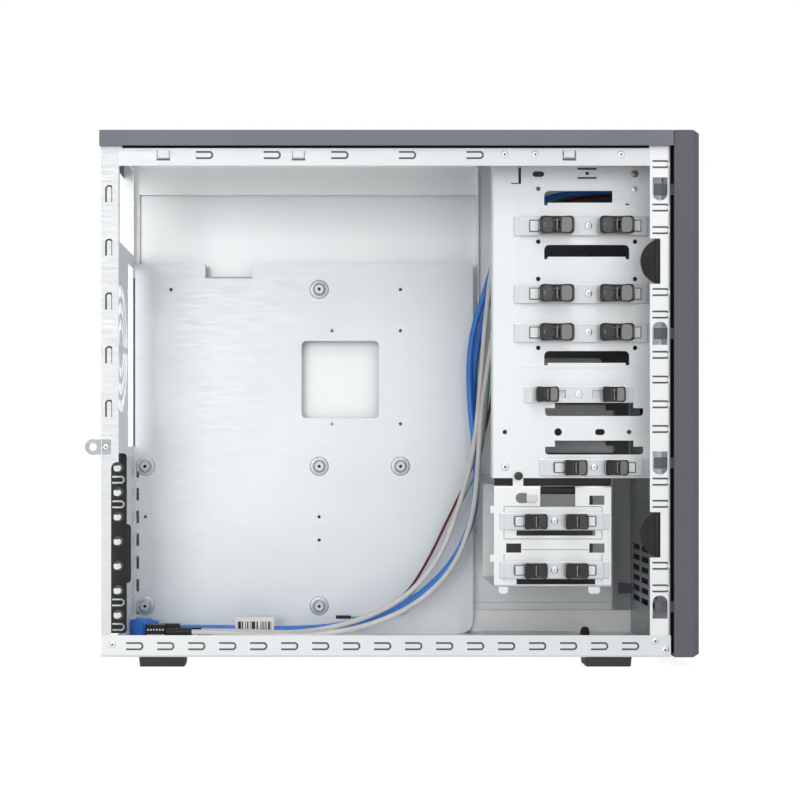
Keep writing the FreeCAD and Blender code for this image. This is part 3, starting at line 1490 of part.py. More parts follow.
def make_bay_covers():
    """Blank covers that fill the bay openings from inside, each with a flange at both ends."""
    sets = {
        "large_bay_covers": (large_cover_width, large_cover_spans()),
        "small_bay_covers": (dim.small_cover_width, small_cover_spans()),
    }
    for label, (width, spans) in sets.items():
        body = new_body(label)
        left = bay_in_y
        faces = [rect(left, low, left + width, high) for low, high in spans]
        reach = dim.cover_flange_reach
        flanges = [rect(left - reach, low, left + width + reach / 2, high) for low, high in spans]
        pad(body, "YZ", bezel_in_x - dim.cover_flange, dim.cover_flange, *flanges)
        pad(body, "YZ", bezel_in_x, dim.bezel_wall, *faces)


def make_front_buttons():
    """Power and reset buttons: a cap through the bezel and a rim that keeps it in."""
    for label, middle, radius, sides in (
        ("power_button", power_y, dim.power_radius, RING_SIDES),
        ("reset_button", reset_y, dim.reset_radius, BOSS_SIDES),
    ):
        body = new_body(label)
        rim_back = bezel_in_x - dim.seat_gap - dim.button_rim_thickness
        rim = ring(middle, at.button_z, radius + dim.button_rim, sides)
        pad(body, "YZ", rim_back, dim.button_rim_thickness, rim)
        cap = ring(middle, at.button_z, radius, sides)
        pad(body, "YZ", rim_back, nose_x - rim_back, cap)


def port_outline(index, gap):
    """One port of the front row, grown by a gap."""
    shift = dim.port_pitch * (index - (SIZES["port_count"] - 1) / 2)
    middle = dim.board_centre_y + shift
    half_width_port = dim.port_width / 2 + gap
    half_height_port = dim.port_height / 2 + gap
    return rect(middle - half_width_port, at.button_z - half_height_port,
                middle + half_width_port, at.button_z + half_height_port)


def make_front_port_board():
    """The circuit board behind the bezel with its row of sockets, which carry it in the bezel's openings."""
    body = new_body("front_port_board")
    back = bezel_in_x - dim.board_gap - dim.board_thickness
    half = dim.board_width / 2
    half_height = dim.board_height / 2
    board = rect(dim.board_centre_y - half, at.button_z - half_height,
                 dim.board_centre_y + half, at.button_z + half_height)
    pad(body, "YZ", back, dim.board_thickness, board)
    sockets = [port_outline(index, as_size(0)) for index in range(SIZES["port_count"])]
    pad(body, "YZ", back + dim.board_thickness, nose_x - dim.sheet - back - dim.board_thickness, *sockets)


def make_bezel_paddles():
    """Two D-shaped release paddles, each on an upright barrel in a notch of the front flange."""
    half = dim.paddle_height / 2 - dim.seat_gap
    axis_y = near_in_y + dim.paddle_axis_depth
    radius = (dim.paddle_reach * dim.paddle_reach + half * half) / (dim.paddle_reach * 2)
    levels = {"lower_bezel_paddle": dim.paddle_low_z, "upper_bezel_paddle": at.paddle_high_z}
    for label, middle in levels.items():
        body = new_body(label)
        chord_x = at.paddle_axis_x
        disc = ring(chord_x - dim.paddle_reach + radius, middle, radius, DISC_SIDES)
        start = axis_y - dim.paddle_thickness / 2
        pad(body, "XZ", start, dim.paddle_thickness, disc)
        beyond = rect(chord_x, middle - radius, chord_x + radius * 2, middle + radius)
        pocket(body, "XZ", start, dim.paddle_thickness, beyond)
        pad(body, "XY", middle - half, half * 2, circle(at.paddle_axis_x, axis_y, dim.paddle_barrel))


def make_feet():
    """Four tapered rubber feet."""
    body = new_body("feet")
    half_length = dim.foot_length / 2
    outlines = []
    for x in (rear_foot_x, at.front_foot_x):
        for side in (-1, 1):
            outer = half_width - dim.panel_recess - dim.foot_inset
            inner = outer - dim.foot_width
            edges = (-outer, -inner) if side < 0 else (inner, outer)
            outlines.append(rect(x - half_length, edges[0], x + half_length, edges[1]))
    pad(body, "XY", as_size(0), dim.foot_height, *outlines, taper=dim.foot_taper)


# Cords and their plugs


def cord_path(points):
    """Straight runs joined by tangent arcs, each arc as large as its two runs allow."""
    edges = []
    radii = []
    position = points[0]
    for before, corner, after in zip(points, points[1:], points[2:]):
        into = corner - before
        out = after - corner
        half_turn = into.getAngle(out) / 2
        reach = ARC_SHARE * min(into.Length, out.Length)
        radius = reach / math.tan(half_turn)
        into.normalize()
        out.normalize()
        start = corner - into * reach
        end = corner + out * reach
        inward = (out - into).normalize()
        middle = corner + inward * (radius / math.cos(half_turn) - radius)
        edges.append(Part.LineSegment(position, start).toShape())
        edges.append(Part.Arc(start, middle, end).toShape())
        radii.append(radius)
        position = end
    edges.append(Part.LineSegment(position, points[-1]).toShape())
    return Part.Wire(edges), radii


def make_cord(label, diameter, places):
    """A cord of even flats swept along its route."""
    points = [FreeCAD.Vector(*place) for place in places]
    wire, radii = cord_path(points)
    path = doc.addObject("Part::Feature", f"{label}_path")
    path.Shape = wire
    section = doc.addObject("Part::RegularPolygon", f"{label}_section")
    section.Polygon = CORD_SIDES
    section.setExpression("Circumradius", (diameter / 2).formula)
    facing = FreeCAD.Rotation(FreeCAD.Vector(0, 0, 1), points[1] - points[0])
    section.Placement = FreeCAD.Placement(points[0], facing)
    cord = doc.addObject("Part::Sweep", label)
    cord.Label = label
    cord.Sections = [section]
    cord.Spine = (path, [f"Edge{number}" for number in range(1, len(wire.Edges) + 1)])
    cord.Solid = True
    cord.Frenet = False
    pieces.append(cord)
    tightest = min(radii) / diameter.number
    cords.append((cord, diameter.number, wire.Length))
    print(f"{label}: {wire.Length:.0f} mm long, tightest bend {tightest:.1f} diameters,"
          f" radii {[round(radius) for radius in radii]}")


def make_block(body, end, length, width, height, low):
    """A plug moulded on the end of a cord, reaching on along -X."""
    x, y = as_size(end[0]), as_size(end[1])
    pad(body, "XY", low, height, rect(x - length, y - width / 2, x, y + width / 2))


def make_plugs():
    """The blue cords' shared plug, two board headers, two lead plugs and a blank tag."""
    ends = {name: places[-1] for name, (diameter, places) in CORDS.items()}
    on_floor = floor_in_z + dim.seat_gap
    one, two = ends["blue_cord_one"], ends["blue_cord_two"]
    plug = new_body("blue_plug")
    middle = (one[0], (one[1] + two[1]) / 2)
    make_block(plug, middle, dim.blue_plug_length, dim.blue_plug_width, dim.blue_plug_height, on_floor)
    headers = new_body("header_plugs")
    for name in ("grey_cord_one", "grey_cord_two"):
        make_block(headers, ends[name], dim.header_length, dim.header_width, dim.header_height, on_floor)
    leads = new_body("lead_plugs")
    for name in ("red_lead", "green_lead"):
        low = as_size(ends[name][2]) - dim.lead_plug_height / 2
        make_block(leads, ends[name], dim.lead_plug_length, dim.lead_plug_width, dim.lead_plug_height, low)
    tag = new_body("cable_tag")
    hold = CORDS["blue_cord_one"][1][-3]
    tag_y = as_size(hold[1]) - dim.blue_cord / 2 - dim.seat_gap - dim.tag_thickness
    right = as_size(hold[0]) - dim.tag_shift
    low = on_floor + dim.tag_lift
    plate = rect(right - dim.tag_length, low, right, low + dim.tag_height)
    pad(tag, "XZ", tag_y, dim.tag_thickness, plate)


def check_cords():
    """A sound tube has the volume of its section times its length."""
    for cord, diameter, length in cords:
        expected = CORD_SIDES / 8 * diameter ** 2 * math.sin(2 * math.pi / CORD_SIDES) * length
        if abs(cord.Shape.Volume / expected - 1) > 0.01:
            raise ValueError(f"{cord.Label} has {cord.Shape.Volume / expected:.3f} of its volume")


make_floor_pan()
make_rear_panel()
make_front_panel()
make_top_frame()
make_top_cover()
make_right_side_panel()
make_motherboard_tray()
make_drive_bay_near_wall()
make_drive_bay_far_wall()
make_hdd_cage()
make_cage_fittings()
make_drive_locks()
make_slot_covers()
make_card_retainer()
make_padlock_loop()
make_front_bezel()
make_bay_covers()
make_front_buttons()
make_front_port_board()
make_bezel_paddles()
make_feet()
for label, (diameter, places) in CORDS.items():
    make_cord(label, getattr(dim, diameter), places)
make_plugs()

doc.recompute()
for item in doc.Objects:
    if "Invalid" in item.State or "Error" in item.State:
        raise ValueError(f"{item.Label} failed: {item.State}")
for piece in pieces:
    if piece.Shape.isNull() or not piece.Shape.isValid():
        raise ValueError(f"{piece.Label} has no valid shape")
    if piece.isDerivedFrom("PartDesign::Body"):
        check_volumes(piece)
check_cords()
os.makedirs("parts", exist_ok=True)
for piece in pieces:
    piece.Shape.exportStep(f"parts/{piece.Label}.step")
print(f"{len(pieces)} pieces written")
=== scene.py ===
import math

import bmesh
import bpy
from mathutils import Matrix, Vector


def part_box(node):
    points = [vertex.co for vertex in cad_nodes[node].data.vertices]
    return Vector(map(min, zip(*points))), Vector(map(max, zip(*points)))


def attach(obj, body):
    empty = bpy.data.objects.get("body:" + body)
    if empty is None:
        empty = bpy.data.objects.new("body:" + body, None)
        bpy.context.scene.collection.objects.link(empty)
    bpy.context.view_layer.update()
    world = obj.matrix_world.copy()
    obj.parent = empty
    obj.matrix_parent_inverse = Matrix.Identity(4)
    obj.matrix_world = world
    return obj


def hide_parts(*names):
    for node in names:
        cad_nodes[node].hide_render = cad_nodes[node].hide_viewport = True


# Mid-tower computer case with its left side open, in metres.
# +X points to the front bezel, -Y out of the open side and +Z up.

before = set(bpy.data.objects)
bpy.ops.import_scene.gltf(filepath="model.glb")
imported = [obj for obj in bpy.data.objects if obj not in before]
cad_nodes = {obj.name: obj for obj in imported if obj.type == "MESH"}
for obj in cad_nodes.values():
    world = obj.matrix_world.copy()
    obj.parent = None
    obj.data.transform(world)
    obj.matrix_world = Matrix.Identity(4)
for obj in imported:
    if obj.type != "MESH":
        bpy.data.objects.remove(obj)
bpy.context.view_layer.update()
MM = 0.001


def mm(*values):
    """Millimetres as a place in metres."""
    return Vector([value * MM for value in values])


def node_box(node):
    """Lowest and highest corners of a CAD node, in millimetres."""
    return [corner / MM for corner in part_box(node)]


# Camera

camera_data = bpy.data.cameras.new("photo_camera")
camera_data.sensor_width = 36
camera_data.lens = 86.5
camera_data.shift_x = 0.11
camera_data.shift_y = 0.0425
camera = bpy.data.objects.new("photo_camera", camera_data)
camera.location = (-0.064, -1.635, 0.187)
camera.rotation_euler = (math.radians(90), 0, 0)
bpy.context.collection.objects.link(camera)
bpy.context.scene.camera = camera


# Finishes

NOISE_LOW, NOISE_HIGH = 0.3, 0.7
ZINC_CLOUDS = 7.0
ZINC_GRAIN = 1800.0
ZINC_RELIEF = 0.06
GRAIN_DEPTH = 0.0002
ROLLING_LINES = 60.0
ROLLING_STRETCH = (1.0, 1.0, 14.0)
SHEET_ROUGH_LOW, SHEET_ROUGH_HIGH = 0.36, 0.5
SHEET_METALLIC = 0.4
SLATE_SPECKS = 1500.0
SLATE_CLOUDS = 9.0
SLATE_SPECK_SHARE, SLATE_CLOUD_SHARE = 0.8, 0.2
SLATE_SMOOTHER, SLATE_ROUGHER = 0.08, 0.1
SLATE_DEPTH = 0.0004
FLOW_MARKS = 45.0
FLOW_SMOOTHER, FLOW_ROUGHER = 0.8, 1.25
PANEL_FACES_IN = -0.5
PANEL_ROUGHNESS, PANEL_INSIDE_SMOOTHER = 0.62, 0.2
PANEL_INSIDE_METALLIC = 0.5
PANEL_RELIEF, PANEL_DEPTH = 0.15, 0.0003
TAG_ROUGHNESS = 0.75
TAG_FIBRES, TAG_GRAIN = 600.0, 900.0
TAG_RELIEF, TAG_DEPTH = 0.1, 0.0001
TAG_BARS_PER_METRE = 1700.0
TAG_BAR_CHANCE = 0.48
TAG_BAND = {"Z": (0.0142, 0.0236), "X": (-0.1285, -0.0995)}


class Finish:
    """A node material in the making, with short ways to add its nodes."""

    def __init__(self, name, colour, roughness, metallic=0.0):
        self.material = bpy.data.materials.new(name)
        self.material.use_nodes = True
        self.tree = self.material.node_tree
        self.shader = self.tree.nodes["Principled BSDF"]
        self.shader.inputs["Base Color"].default_value = (*colour, 1)
        self.shader.inputs["Roughness"].default_value = roughness
        self.shader.inputs["Metallic"].default_value = metallic
        self.place = self.node("ShaderNodeTexCoord").outputs["Object"]

    def node(self, kind, **settings):
        """A new node with some of its settings."""
        made = self.tree.nodes.new(kind)
        for name, value in settings.items():
            setattr(made, name, value)
        return made

    def link(self, output, target):
        """Joins an output to an input."""
        self.tree.links.new(output, target)

    def noise(self, scale, detail=2.0, stretch=None):
        """Cloudy values over the piece."""
        made = self.node("ShaderNodeTexNoise")
        made.inputs["Scale"].default_value = scale
        made.inputs["Detail"].default_value = detail
        place = self.place
        if stretch is not None:
            mapping = self.node("ShaderNodeMapping")
            mapping.inputs["Scale"].default_value = stretch
            self.link(place, mapping.inputs["Vector"])
            place = mapping.outputs["Vector"]
        self.link(place, made.inputs["Vector"])
        return made.outputs["Fac"]

    def spread(self, value, low, high):
        """Takes cloudy values to a range."""
        made = self.node("ShaderNodeMapRange")
        made.inputs["From Min"].default_value = NOISE_LOW
        made.inputs["From Max"].default_value = NOISE_HIGH
        made.inputs["To Min"].default_value = low
        made.inputs["To Max"].default_value = high
        self.link(value, made.inputs["Value"])
        return made.outputs["Result"]

    def math(self, operation, first, second):
        """One sum of two values; either may be a plain number."""
        made = self.node("ShaderNodeMath", operation=operation)
        for value, target in zip((first, second), made.inputs):
            if isinstance(value, (int, float)):
                target.default_value = value
            else:
                self.link(value, target)
        return made.outputs["Value"]

    def mix(self, share, first, second):
        """A blend of two colours; either may come from a node."""
        made = self.node("ShaderNodeMix", data_type="RGBA")
        self.link(share, made.inputs["Factor"])
        for colour, target in ((first, made.inputs[6]), (second, made.inputs[7])):
            if isinstance(colour, tuple):
                target.default_value = (*colour, 1)
            else:
                self.link(colour, target)
        return made.outputs[2]

    def colour(self, output):
        """Gives the shader its colour."""
        self.link(output, self.shader.inputs["Base Color"])

    def roughness(self, output):
        """Gives the shader its roughness."""
        self.link(output, self.shader.inputs["Roughness"])

    def bump(self, height, strength, depth):
        """Gives the surface its fine relief."""
        made = self.node("ShaderNodeBump")
        made.inputs["Strength"].default_value = strength
        made.inputs["Distance"].default_value = depth
        self.link(height, made.inputs["Height"])
        self.link(made.outputs["Normal"], self.shader.inputs["Normal"])


def cloudy_zinc(finish, light, dark):
    """The faintly clouded colour of zinc plating."""
    return finish.mix(finish.spread(finish.noise(ZINC_CLOUDS, 4.0), 0.0, 1.0), light, dark)


def rolled_grain(finish, rough_low, rough_high):
    """Rolling lines and a fine satin grain."""
    lines = finish.noise(ROLLING_LINES, 3.0, ROLLING_STRETCH)
    finish.roughness(finish.spread(lines, rough_low, rough_high))
    finish.bump(finish.noise(ZINC_GRAIN), ZINC_RELIEF, GRAIN_DEPTH)


def zinc_finish(name, light, dark, rough_low, rough_high, metallic):
    """Zinc-plated sheet."""
    finish = Finish(name, light, rough_low, metallic)
    finish.colour(cloudy_zinc(finish, light, dark))
    rolled_grain(finish, rough_low, rough_high)
    return finish.material


def painted_light_split_finish(name, light, dark, limits, painted_tone):
    """Zinc sheet in its cloudy colour up to its limits, and beyond them a flat painted tone that stands in
    for the light there: paler where inner faces lie in shade, darker where they should look shadowed.
    """
    finish = Finish(name, light, SHEET_ROUGH_LOW, SHEET_METALLIC)
    axes = finish.node("ShaderNodeSeparateXYZ")
    finish.link(finish.place, axes.inputs["Vector"])
    beyond = 1.0
    for axis, limit in limits.items():
        beyond = finish.math("MULTIPLY", beyond, finish.math("GREATER_THAN", axes.outputs[axis], limit))
    finish.colour(finish.mix(beyond, cloudy_zinc(finish, light, dark), painted_tone))
    rolled_grain(finish, SHEET_ROUGH_LOW, SHEET_ROUGH_HIGH)
    return finish.material


def slate_finish(name, light, dark, roughness, relief):
    """Fine-textured dark grey skin of the lid, side and bezel."""
    finish = Finish(name, light, roughness)
    specks = finish.noise(SLATE_SPECKS, 3.0)
    clouds = finish.noise(SLATE_CLOUDS)
    both = finish.math("ADD", finish.math("MULTIPLY", specks, SLATE_SPECK_SHARE),
                       finish.math("MULTIPLY", clouds, SLATE_CLOUD_SHARE))
    finish.colour(finish.mix(finish.spread(both, 0.0, 1.0), dark, light))
    finish.roughness(finish.spread(specks, roughness - SLATE_SMOOTHER, roughness + SLATE_ROUGHER))
    finish.bump(specks, relief, SLATE_DEPTH)
    return finish.material


def moulded_finish(name, light, dark, roughness, grain_scale=900.0, relief=0.08, gloss=0.5):
    """Moulded plastic or rubber with faint flow marks and a fine grain."""
    finish = Finish(name, light, roughness)
    finish.shader.inputs["Specular IOR Level"].default_value = gloss
    flow = finish.noise(FLOW_MARKS, 3.0)
    finish.colour(finish.mix(finish.spread(flow, 0.0, 1.0), light, dark))
    finish.roughness(finish.spread(flow, roughness * FLOW_SMOOTHER, roughness * FLOW_ROUGHER))
    finish.bump(finish.noise(grain_scale), relief, GRAIN_DEPTH)
    return finish.material


def side_panel_finish(zinc_light, zinc_dark, slate_light, slate_dark):
    """The right side panel: plated where it faces in, slate where it faces out."""
    finish = Finish("panel_zinc_and_slate", zinc_light, PANEL_ROUGHNESS)
    facing = finish.node("ShaderNodeSeparateXYZ")
    finish.link(finish.node("ShaderNodeNewGeometry").outputs["Normal"], facing.inputs["Vector"])
    inward = finish.math("LESS_THAN", facing.outputs["Y"], PANEL_FACES_IN)
    specks = finish.noise(SLATE_SPECKS, 3.0)
    slate = finish.mix(finish.spread(specks, 0.0, 1.0), slate_dark, slate_light)
    finish.colour(finish.mix(inward, slate, cloudy_zinc(finish, zinc_light, zinc_dark)))
    smoother = finish.math("MULTIPLY", inward, PANEL_INSIDE_SMOOTHER)
    finish.roughness(finish.math("SUBTRACT", PANEL_ROUGHNESS, smoother))
    metallic = finish.math("MULTIPLY", inward, PANEL_INSIDE_METALLIC)
    finish.link(metallic, finish.shader.inputs["Metallic"])
    finish.bump(specks, PANEL_RELIEF, PANEL_DEPTH)
    return finish.material


def paper_tag_finish():
    """White tag paper with one band of plain upright bars."""
    finish = Finish("tag_paper", (0.9, 0.9, 0.9), TAG_ROUGHNESS)
    axes = finish.node("ShaderNodeSeparateXYZ")
    finish.link(finish.place, axes.inputs["Vector"])
    step = finish.math("FLOOR", finish.math("MULTIPLY", axes.outputs["X"], TAG_BARS_PER_METRE), 0.0)
    chance = finish.node("ShaderNodeTexWhiteNoise", noise_dimensions="1D")
    finish.link(step, chance.inputs["W"])
    bars = finish.math("GREATER_THAN", chance.outputs["Value"], TAG_BAR_CHANCE)
    for axis, (low, high) in TAG_BAND.items():
        bars = finish.math("MULTIPLY", bars, finish.math("GREATER_THAN", axes.outputs[axis], low))
        bars = finish.math("MULTIPLY", bars, finish.math("LESS_THAN", axes.outputs[axis], high))
    fibres = finish.spread(finish.noise(TAG_FIBRES, 4.0), 0.0, 1.0)
    paper = finish.mix(fibres, (0.92, 0.92, 0.92), (0.87, 0.87, 0.86))
    finish.colour(finish.mix(bars, paper, (0.03, 0.03, 0.035)))
    finish.bump(finish.noise(TAG_GRAIN, 3.0), TAG_RELIEF, TAG_DEPTH)
    return finish.material


ZINC_LIGHT = (0.82, 0.84, 0.85)
ZINC_DARK = (0.74, 0.77, 0.785)
# The frame colours are a darker copy of the zinc: painted shade that keeps the brightly lit near flanges from
# white.
FRAME_LIGHT = (0.75, 0.765, 0.775)
FRAME_DARK = (0.68, 0.705, 0.72)
SLATE_LIGHT = (0.165, 0.168, 0.2)
SLATE_DARK = (0.09, 0.092, 0.112)
LID_LIGHT = (0.27, 0.28, 0.34)
LID_DARK = (0.15, 0.158, 0.19)
# Painted light: a paler zinc tone for inner faces that lie in shade.
PAINTED_LIGHT_INSIDE = (0.95, 0.96, 0.965)
FLANGE_BACK = {"Y": -0.0935}
# Beyond these limits the far bay wall and the drive cage take painted shade.
BAY_INSIDE = {"X": 0.098}
CAGE_INSIDE = {"Y": -0.0545, "X": 0.098}

zinc = zinc_finish("zinc_sheet", ZINC_LIGHT, ZINC_DARK, 0.36, 0.48, 0.5)
tray_zinc = zinc_finish("tray_zinc", (0.76, 0.79, 0.81), (0.69, 0.725, 0.75), 0.4, 0.5, 0.5)
rivet_zinc = zinc_finish("rivet_zinc", (0.78, 0.8, 0.8), (0.62, 0.65, 0.66), 0.28, 0.42, 0.8)
strip_zinc = zinc_finish("lock_strip_zinc", (0.72, 0.745, 0.76), (0.64, 0.67, 0.69), 0.3, 0.42, 0.5)
# Floor, rear panel and top frame: the near flange in its zinc colours, and painted light on the shaded faces
# beyond it; the rear panel's near colours are darker still, painted shade against the lamps.
floor_zinc = painted_light_split_finish("floor_zinc", (0.8, 0.815, 0.825), (0.73, 0.755, 0.77), FLANGE_BACK,
                              PAINTED_LIGHT_INSIDE)
rear_zinc = painted_light_split_finish("rear_panel_zinc", (0.68, 0.695, 0.705), (0.62, 0.645, 0.66), FLANGE_BACK,
                             (0.93, 0.945, 0.95))
frame_zinc = painted_light_split_finish("frame_zinc", FRAME_LIGHT, FRAME_DARK, FLANGE_BACK, PAINTED_LIGHT_INSIDE)
collar_zinc = zinc_finish("collar_zinc", (0.6, 0.635, 0.655), (0.53, 0.565, 0.585), 0.32, 0.42, 0.5)
# Dark steel that paints the shade in the cage's handle notch, in the end of the latch slot and behind the
# latch.
notch_shade = zinc_finish("cage_notch_painted_shade", (0.24, 0.25, 0.255), (0.17, 0.178, 0.182), 0.4, 0.55, 0.3)
# A darker copy of the zinc that paints the shading on the padlock loop, the cage's frame lines and the tray
# notch's lip.
painted_shade_zinc = zinc_finish("painted_shade_zinc", (0.38, 0.39, 0.4), (0.27, 0.28, 0.29), 0.3, 0.42, 0.5)
# Front panel: its near flange in a lighter zinc copy, painted light; beyond the flange a dark grey that
# paints the shade on the wall's inner face.
front_zinc = painted_light_split_finish("front_panel_zinc", (0.88, 0.895, 0.905), ZINC_LIGHT, FLANGE_BACK,
                              (0.32, 0.333, 0.34))
# Far bay wall: painted light on its shaded rear edge, and near-black painted shade where it is seen through
# the bay's slots.
bay_zinc = painted_light_split_finish("far_bay_wall_zinc", PAINTED_LIGHT_INSIDE, (0.9, 0.92, 0.93), BAY_INSIDE,
                            (0.1, 0.104, 0.108))
# Drive cage: a lighter zinc copy on its face, painted light, and near-black painted shade inside it.
cage_zinc = painted_light_split_finish("drive_cage_zinc", (0.9, 0.915, 0.92), (0.83, 0.85, 0.86), CAGE_INSIDE,
                             (0.14, 0.146, 0.15))
slate_paint = slate_finish("slate_paint", LID_LIGHT, LID_DARK, 0.6, 0.3)
slate_plastic = slate_finish("slate_plastic", SLATE_LIGHT, SLATE_DARK, 0.66, 0.35)
panel_skin = side_panel_finish((0.87, 0.885, 0.89), (0.82, 0.84, 0.85), SLATE_LIGHT, SLATE_DARK)
gloss_black = moulded_finish("gloss_black", (0.006, 0.006, 0.007), (0.01, 0.01, 0.012), 0.12, 400.0, 0.02,
                             gloss=0.45)
mark_grey = moulded_finish("lock_mark_grey", (0.3, 0.3, 0.31), (0.22, 0.22, 0.23), 0.3)
# A flat dark steel that paints shadow: behind spring slits, under hook windows, in rivet mouths, in
# slot-cover holes, round lock tongues and in the tray's rear seam.
shadow_steel = zinc_finish("painted_shadow_steel", (0.16, 0.17, 0.175), (0.11, 0.118, 0.122), 0.6, 0.75, 0.0)
copper_steel = zinc_finish("yellow_screw_steel", (0.42, 0.31, 0.24), (0.3, 0.21, 0.16), 0.25, 0.4, 0.8)
satin_black = moulded_finish("satin_black", (0.006, 0.006, 0.007), (0.014, 0.014, 0.016), 0.38, gloss=0.3)
black_oxide_and_bore_shade = moulded_finish("black_oxide_and_bore_shade", (0.02, 0.02, 0.021), (0.035, 0.035, 0.036), 0.36)
foam_and_shadow_black = moulded_finish("foam_and_shadow_black", (0.008, 0.008, 0.009), (0.018, 0.018, 0.02), 0.9, 2200.0, 0.6,
                             gloss=0.1)
foot_rubber = moulded_finish("foot_rubber", (0.03, 0.031, 0.036), (0.05, 0.051, 0.056), 0.78, 1400.0, 0.3)
milk_plastic = moulded_finish("milk_plastic", (0.9, 0.9, 0.9), (0.85, 0.85, 0.85), 0.35)
tag_paper = paper_tag_finish()
board_green = moulded_finish("board_lacquer", (0.02, 0.11, 0.05), (0.012, 0.075, 0.035), 0.35, 300.0, 0.15)
blue_sheath = moulded_finish("blue_sheath", (0.05, 0.26, 0.82), (0.035, 0.2, 0.7), 0.4, 500.0, 0.15)
blue_shell = moulded_finish("blue_shell", (0.03, 0.2, 0.72), (0.02, 0.15, 0.6), 0.35)
grey_sheath = moulded_finish("grey_sheath", (0.8, 0.79, 0.77), (0.7, 0.69, 0.67), 0.48, 500.0, 0.15)
red_wire = moulded_finish("red_wire", (0.42, 0.016, 0.03), (0.32, 0.012, 0.022), 0.38)
black_wire_and_opening_shade = moulded_finish("black_wire_and_opening_shade", (0.012, 0.012, 0.013), (0.024, 0.024, 0.026), 0.4)
green_wire = moulded_finish("green_wire", (0.13, 0.58, 0.27), (0.1, 0.5, 0.22), 0.38)
white_wire = moulded_finish("white_wire", (0.82, 0.84, 0.8), (0.74, 0.77, 0.72), 0.4)


# Ways to make and place pieces

WELD_REACH = 0.00002
SHARP_ANGLE = math.radians(35)
EDGE_SEGMENTS = 2
CREASE_ANGLE = math.radians(40)
MERGE_REACH = 0.000002
TWIST_SEED = 11
OUT_OF_OPEN_SIDE = (0, -1, 0)
UPWARD = (0, 0, 1)


def place_piece(piece, material, body):
    """Links a finished piece, gives it its finish and lets it ride on its body."""
    if piece.name not in bpy.context.collection.objects:
        bpy.context.collection.objects.link(piece)
    if material is not None:
        piece.data.materials.clear()
        piece.data.materials.append(material)
    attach(piece, body)
    return piece


def soften(piece, width, weld=False):
    """Rounds the edges of a piece; loose triangles are welded first."""
    if weld:
        piece.modifiers.new("weld", "WELD").merge_threshold = WELD_REACH
    edges = piece.modifiers.new("edges", "BEVEL")
    edges.width = width * MM
    edges.segments = EDGE_SEGMENTS
    edges.limit_method = "ANGLE"
    edges.angle_limit = SHARP_ANGLE
    edges.use_clamp_overlap = True


class Shape:
    """A mesh in the making, built of prisms and lofts in millimetres."""

    AXES = {"X": (1, 2, 0), "Y": (0, 2, 1), "Z": (0, 1, 2)}

    def __init__(self):
        self.mesh = bmesh.new()
        self.paint = 0

    def face(self, corners, smooth=False):
        """One face in the paint of the moment."""
        made = self.mesh.faces.new(corners)
        made.material_index = self.paint
        made.smooth = smooth

    def loft(self, rings):
        """A smooth skin over rings of equally many points, closed at both ends."""
        layers = [[self.mesh.verts.new(mm(*point)) for point in ring] for ring in rings]
        for low, high in zip(layers, layers[1:]):
            for index in range(len(low)):
                after = (index + 1) % len(low)
                self.face((low[index], low[after], high[after], high[index]), smooth=True)
        self.face(layers[0])
        self.face(layers[-1], smooth=True)

    def prism(self, axis, start, end, outline):
        """An outline drawn across an axis and grown along it."""
        first, second, along = self.AXES[axis]
        rings = []
        for level in (start, end):
            ring = []
            for u, v in outline:
                place = [0, 0, 0]
                place[first], place[second], place[along] = u * MM, v * MM, level * MM
                ring.append(self.mesh.verts.new(place))
            rings.append(ring)
        low, high = rings
        self.face(low)
        self.face(high)
        for index in range(len(outline)):
            after = (index + 1) % len(outline)
            self.face((low[index], low[after], high[after], high[index]))

    def block(self, low, high):
        """A block between two corners."""
        outline = [(low[0], low[1]), (high[0], low[1]), (high[0], high[1]), (low[0], high[1])]
        self.prism("Z", low[2], high[2], outline)

    def bar(self, sides, depths, level, reach):
        """A block over a range of X and of Y, reaching as far above its level as below it."""
        self.block((sides[0], depths[0], level - reach), (sides[1], depths[1], level + reach))

    def piece(self, name, materials, body, slot, edge=None):
        """The finished piece; its paints are the places of the materials."""
        bmesh.ops.recalc_face_normals(self.mesh, faces=self.mesh.faces)
        data = bpy.data.meshes.new(name)
        self.mesh.to_mesh(data)
        self.mesh.free()
        for material in materials:
            data.materials.append(material)
        piece = bpy.data.objects.new(name, data)
        if edge is not None:
            soften(piece, edge)
        return place_piece(piece, None, body)


def round_outline(u, v, radius, sides=12):
    """A round outline about a middle."""
    turns = [2 * math.pi * index / sides for index in range(sides)]
    return [(u + radius * math.cos(turn), v + radius * math.sin(turn)) for turn in turns]


def squared_circle(sides, corner):
    """Points of an outline between circle and square, from -1 to 1; a smaller corner power squares it."""
    points = []
    for step in range(sides):
        turn = 2 * math.pi * (step + 0.5) / sides
        across = math.copysign(abs(math.cos(turn)) ** corner, math.cos(turn))
        up = math.copysign(abs(math.sin(turn)) ** corner, math.sin(turn))
        points.append((across, up))
    return points


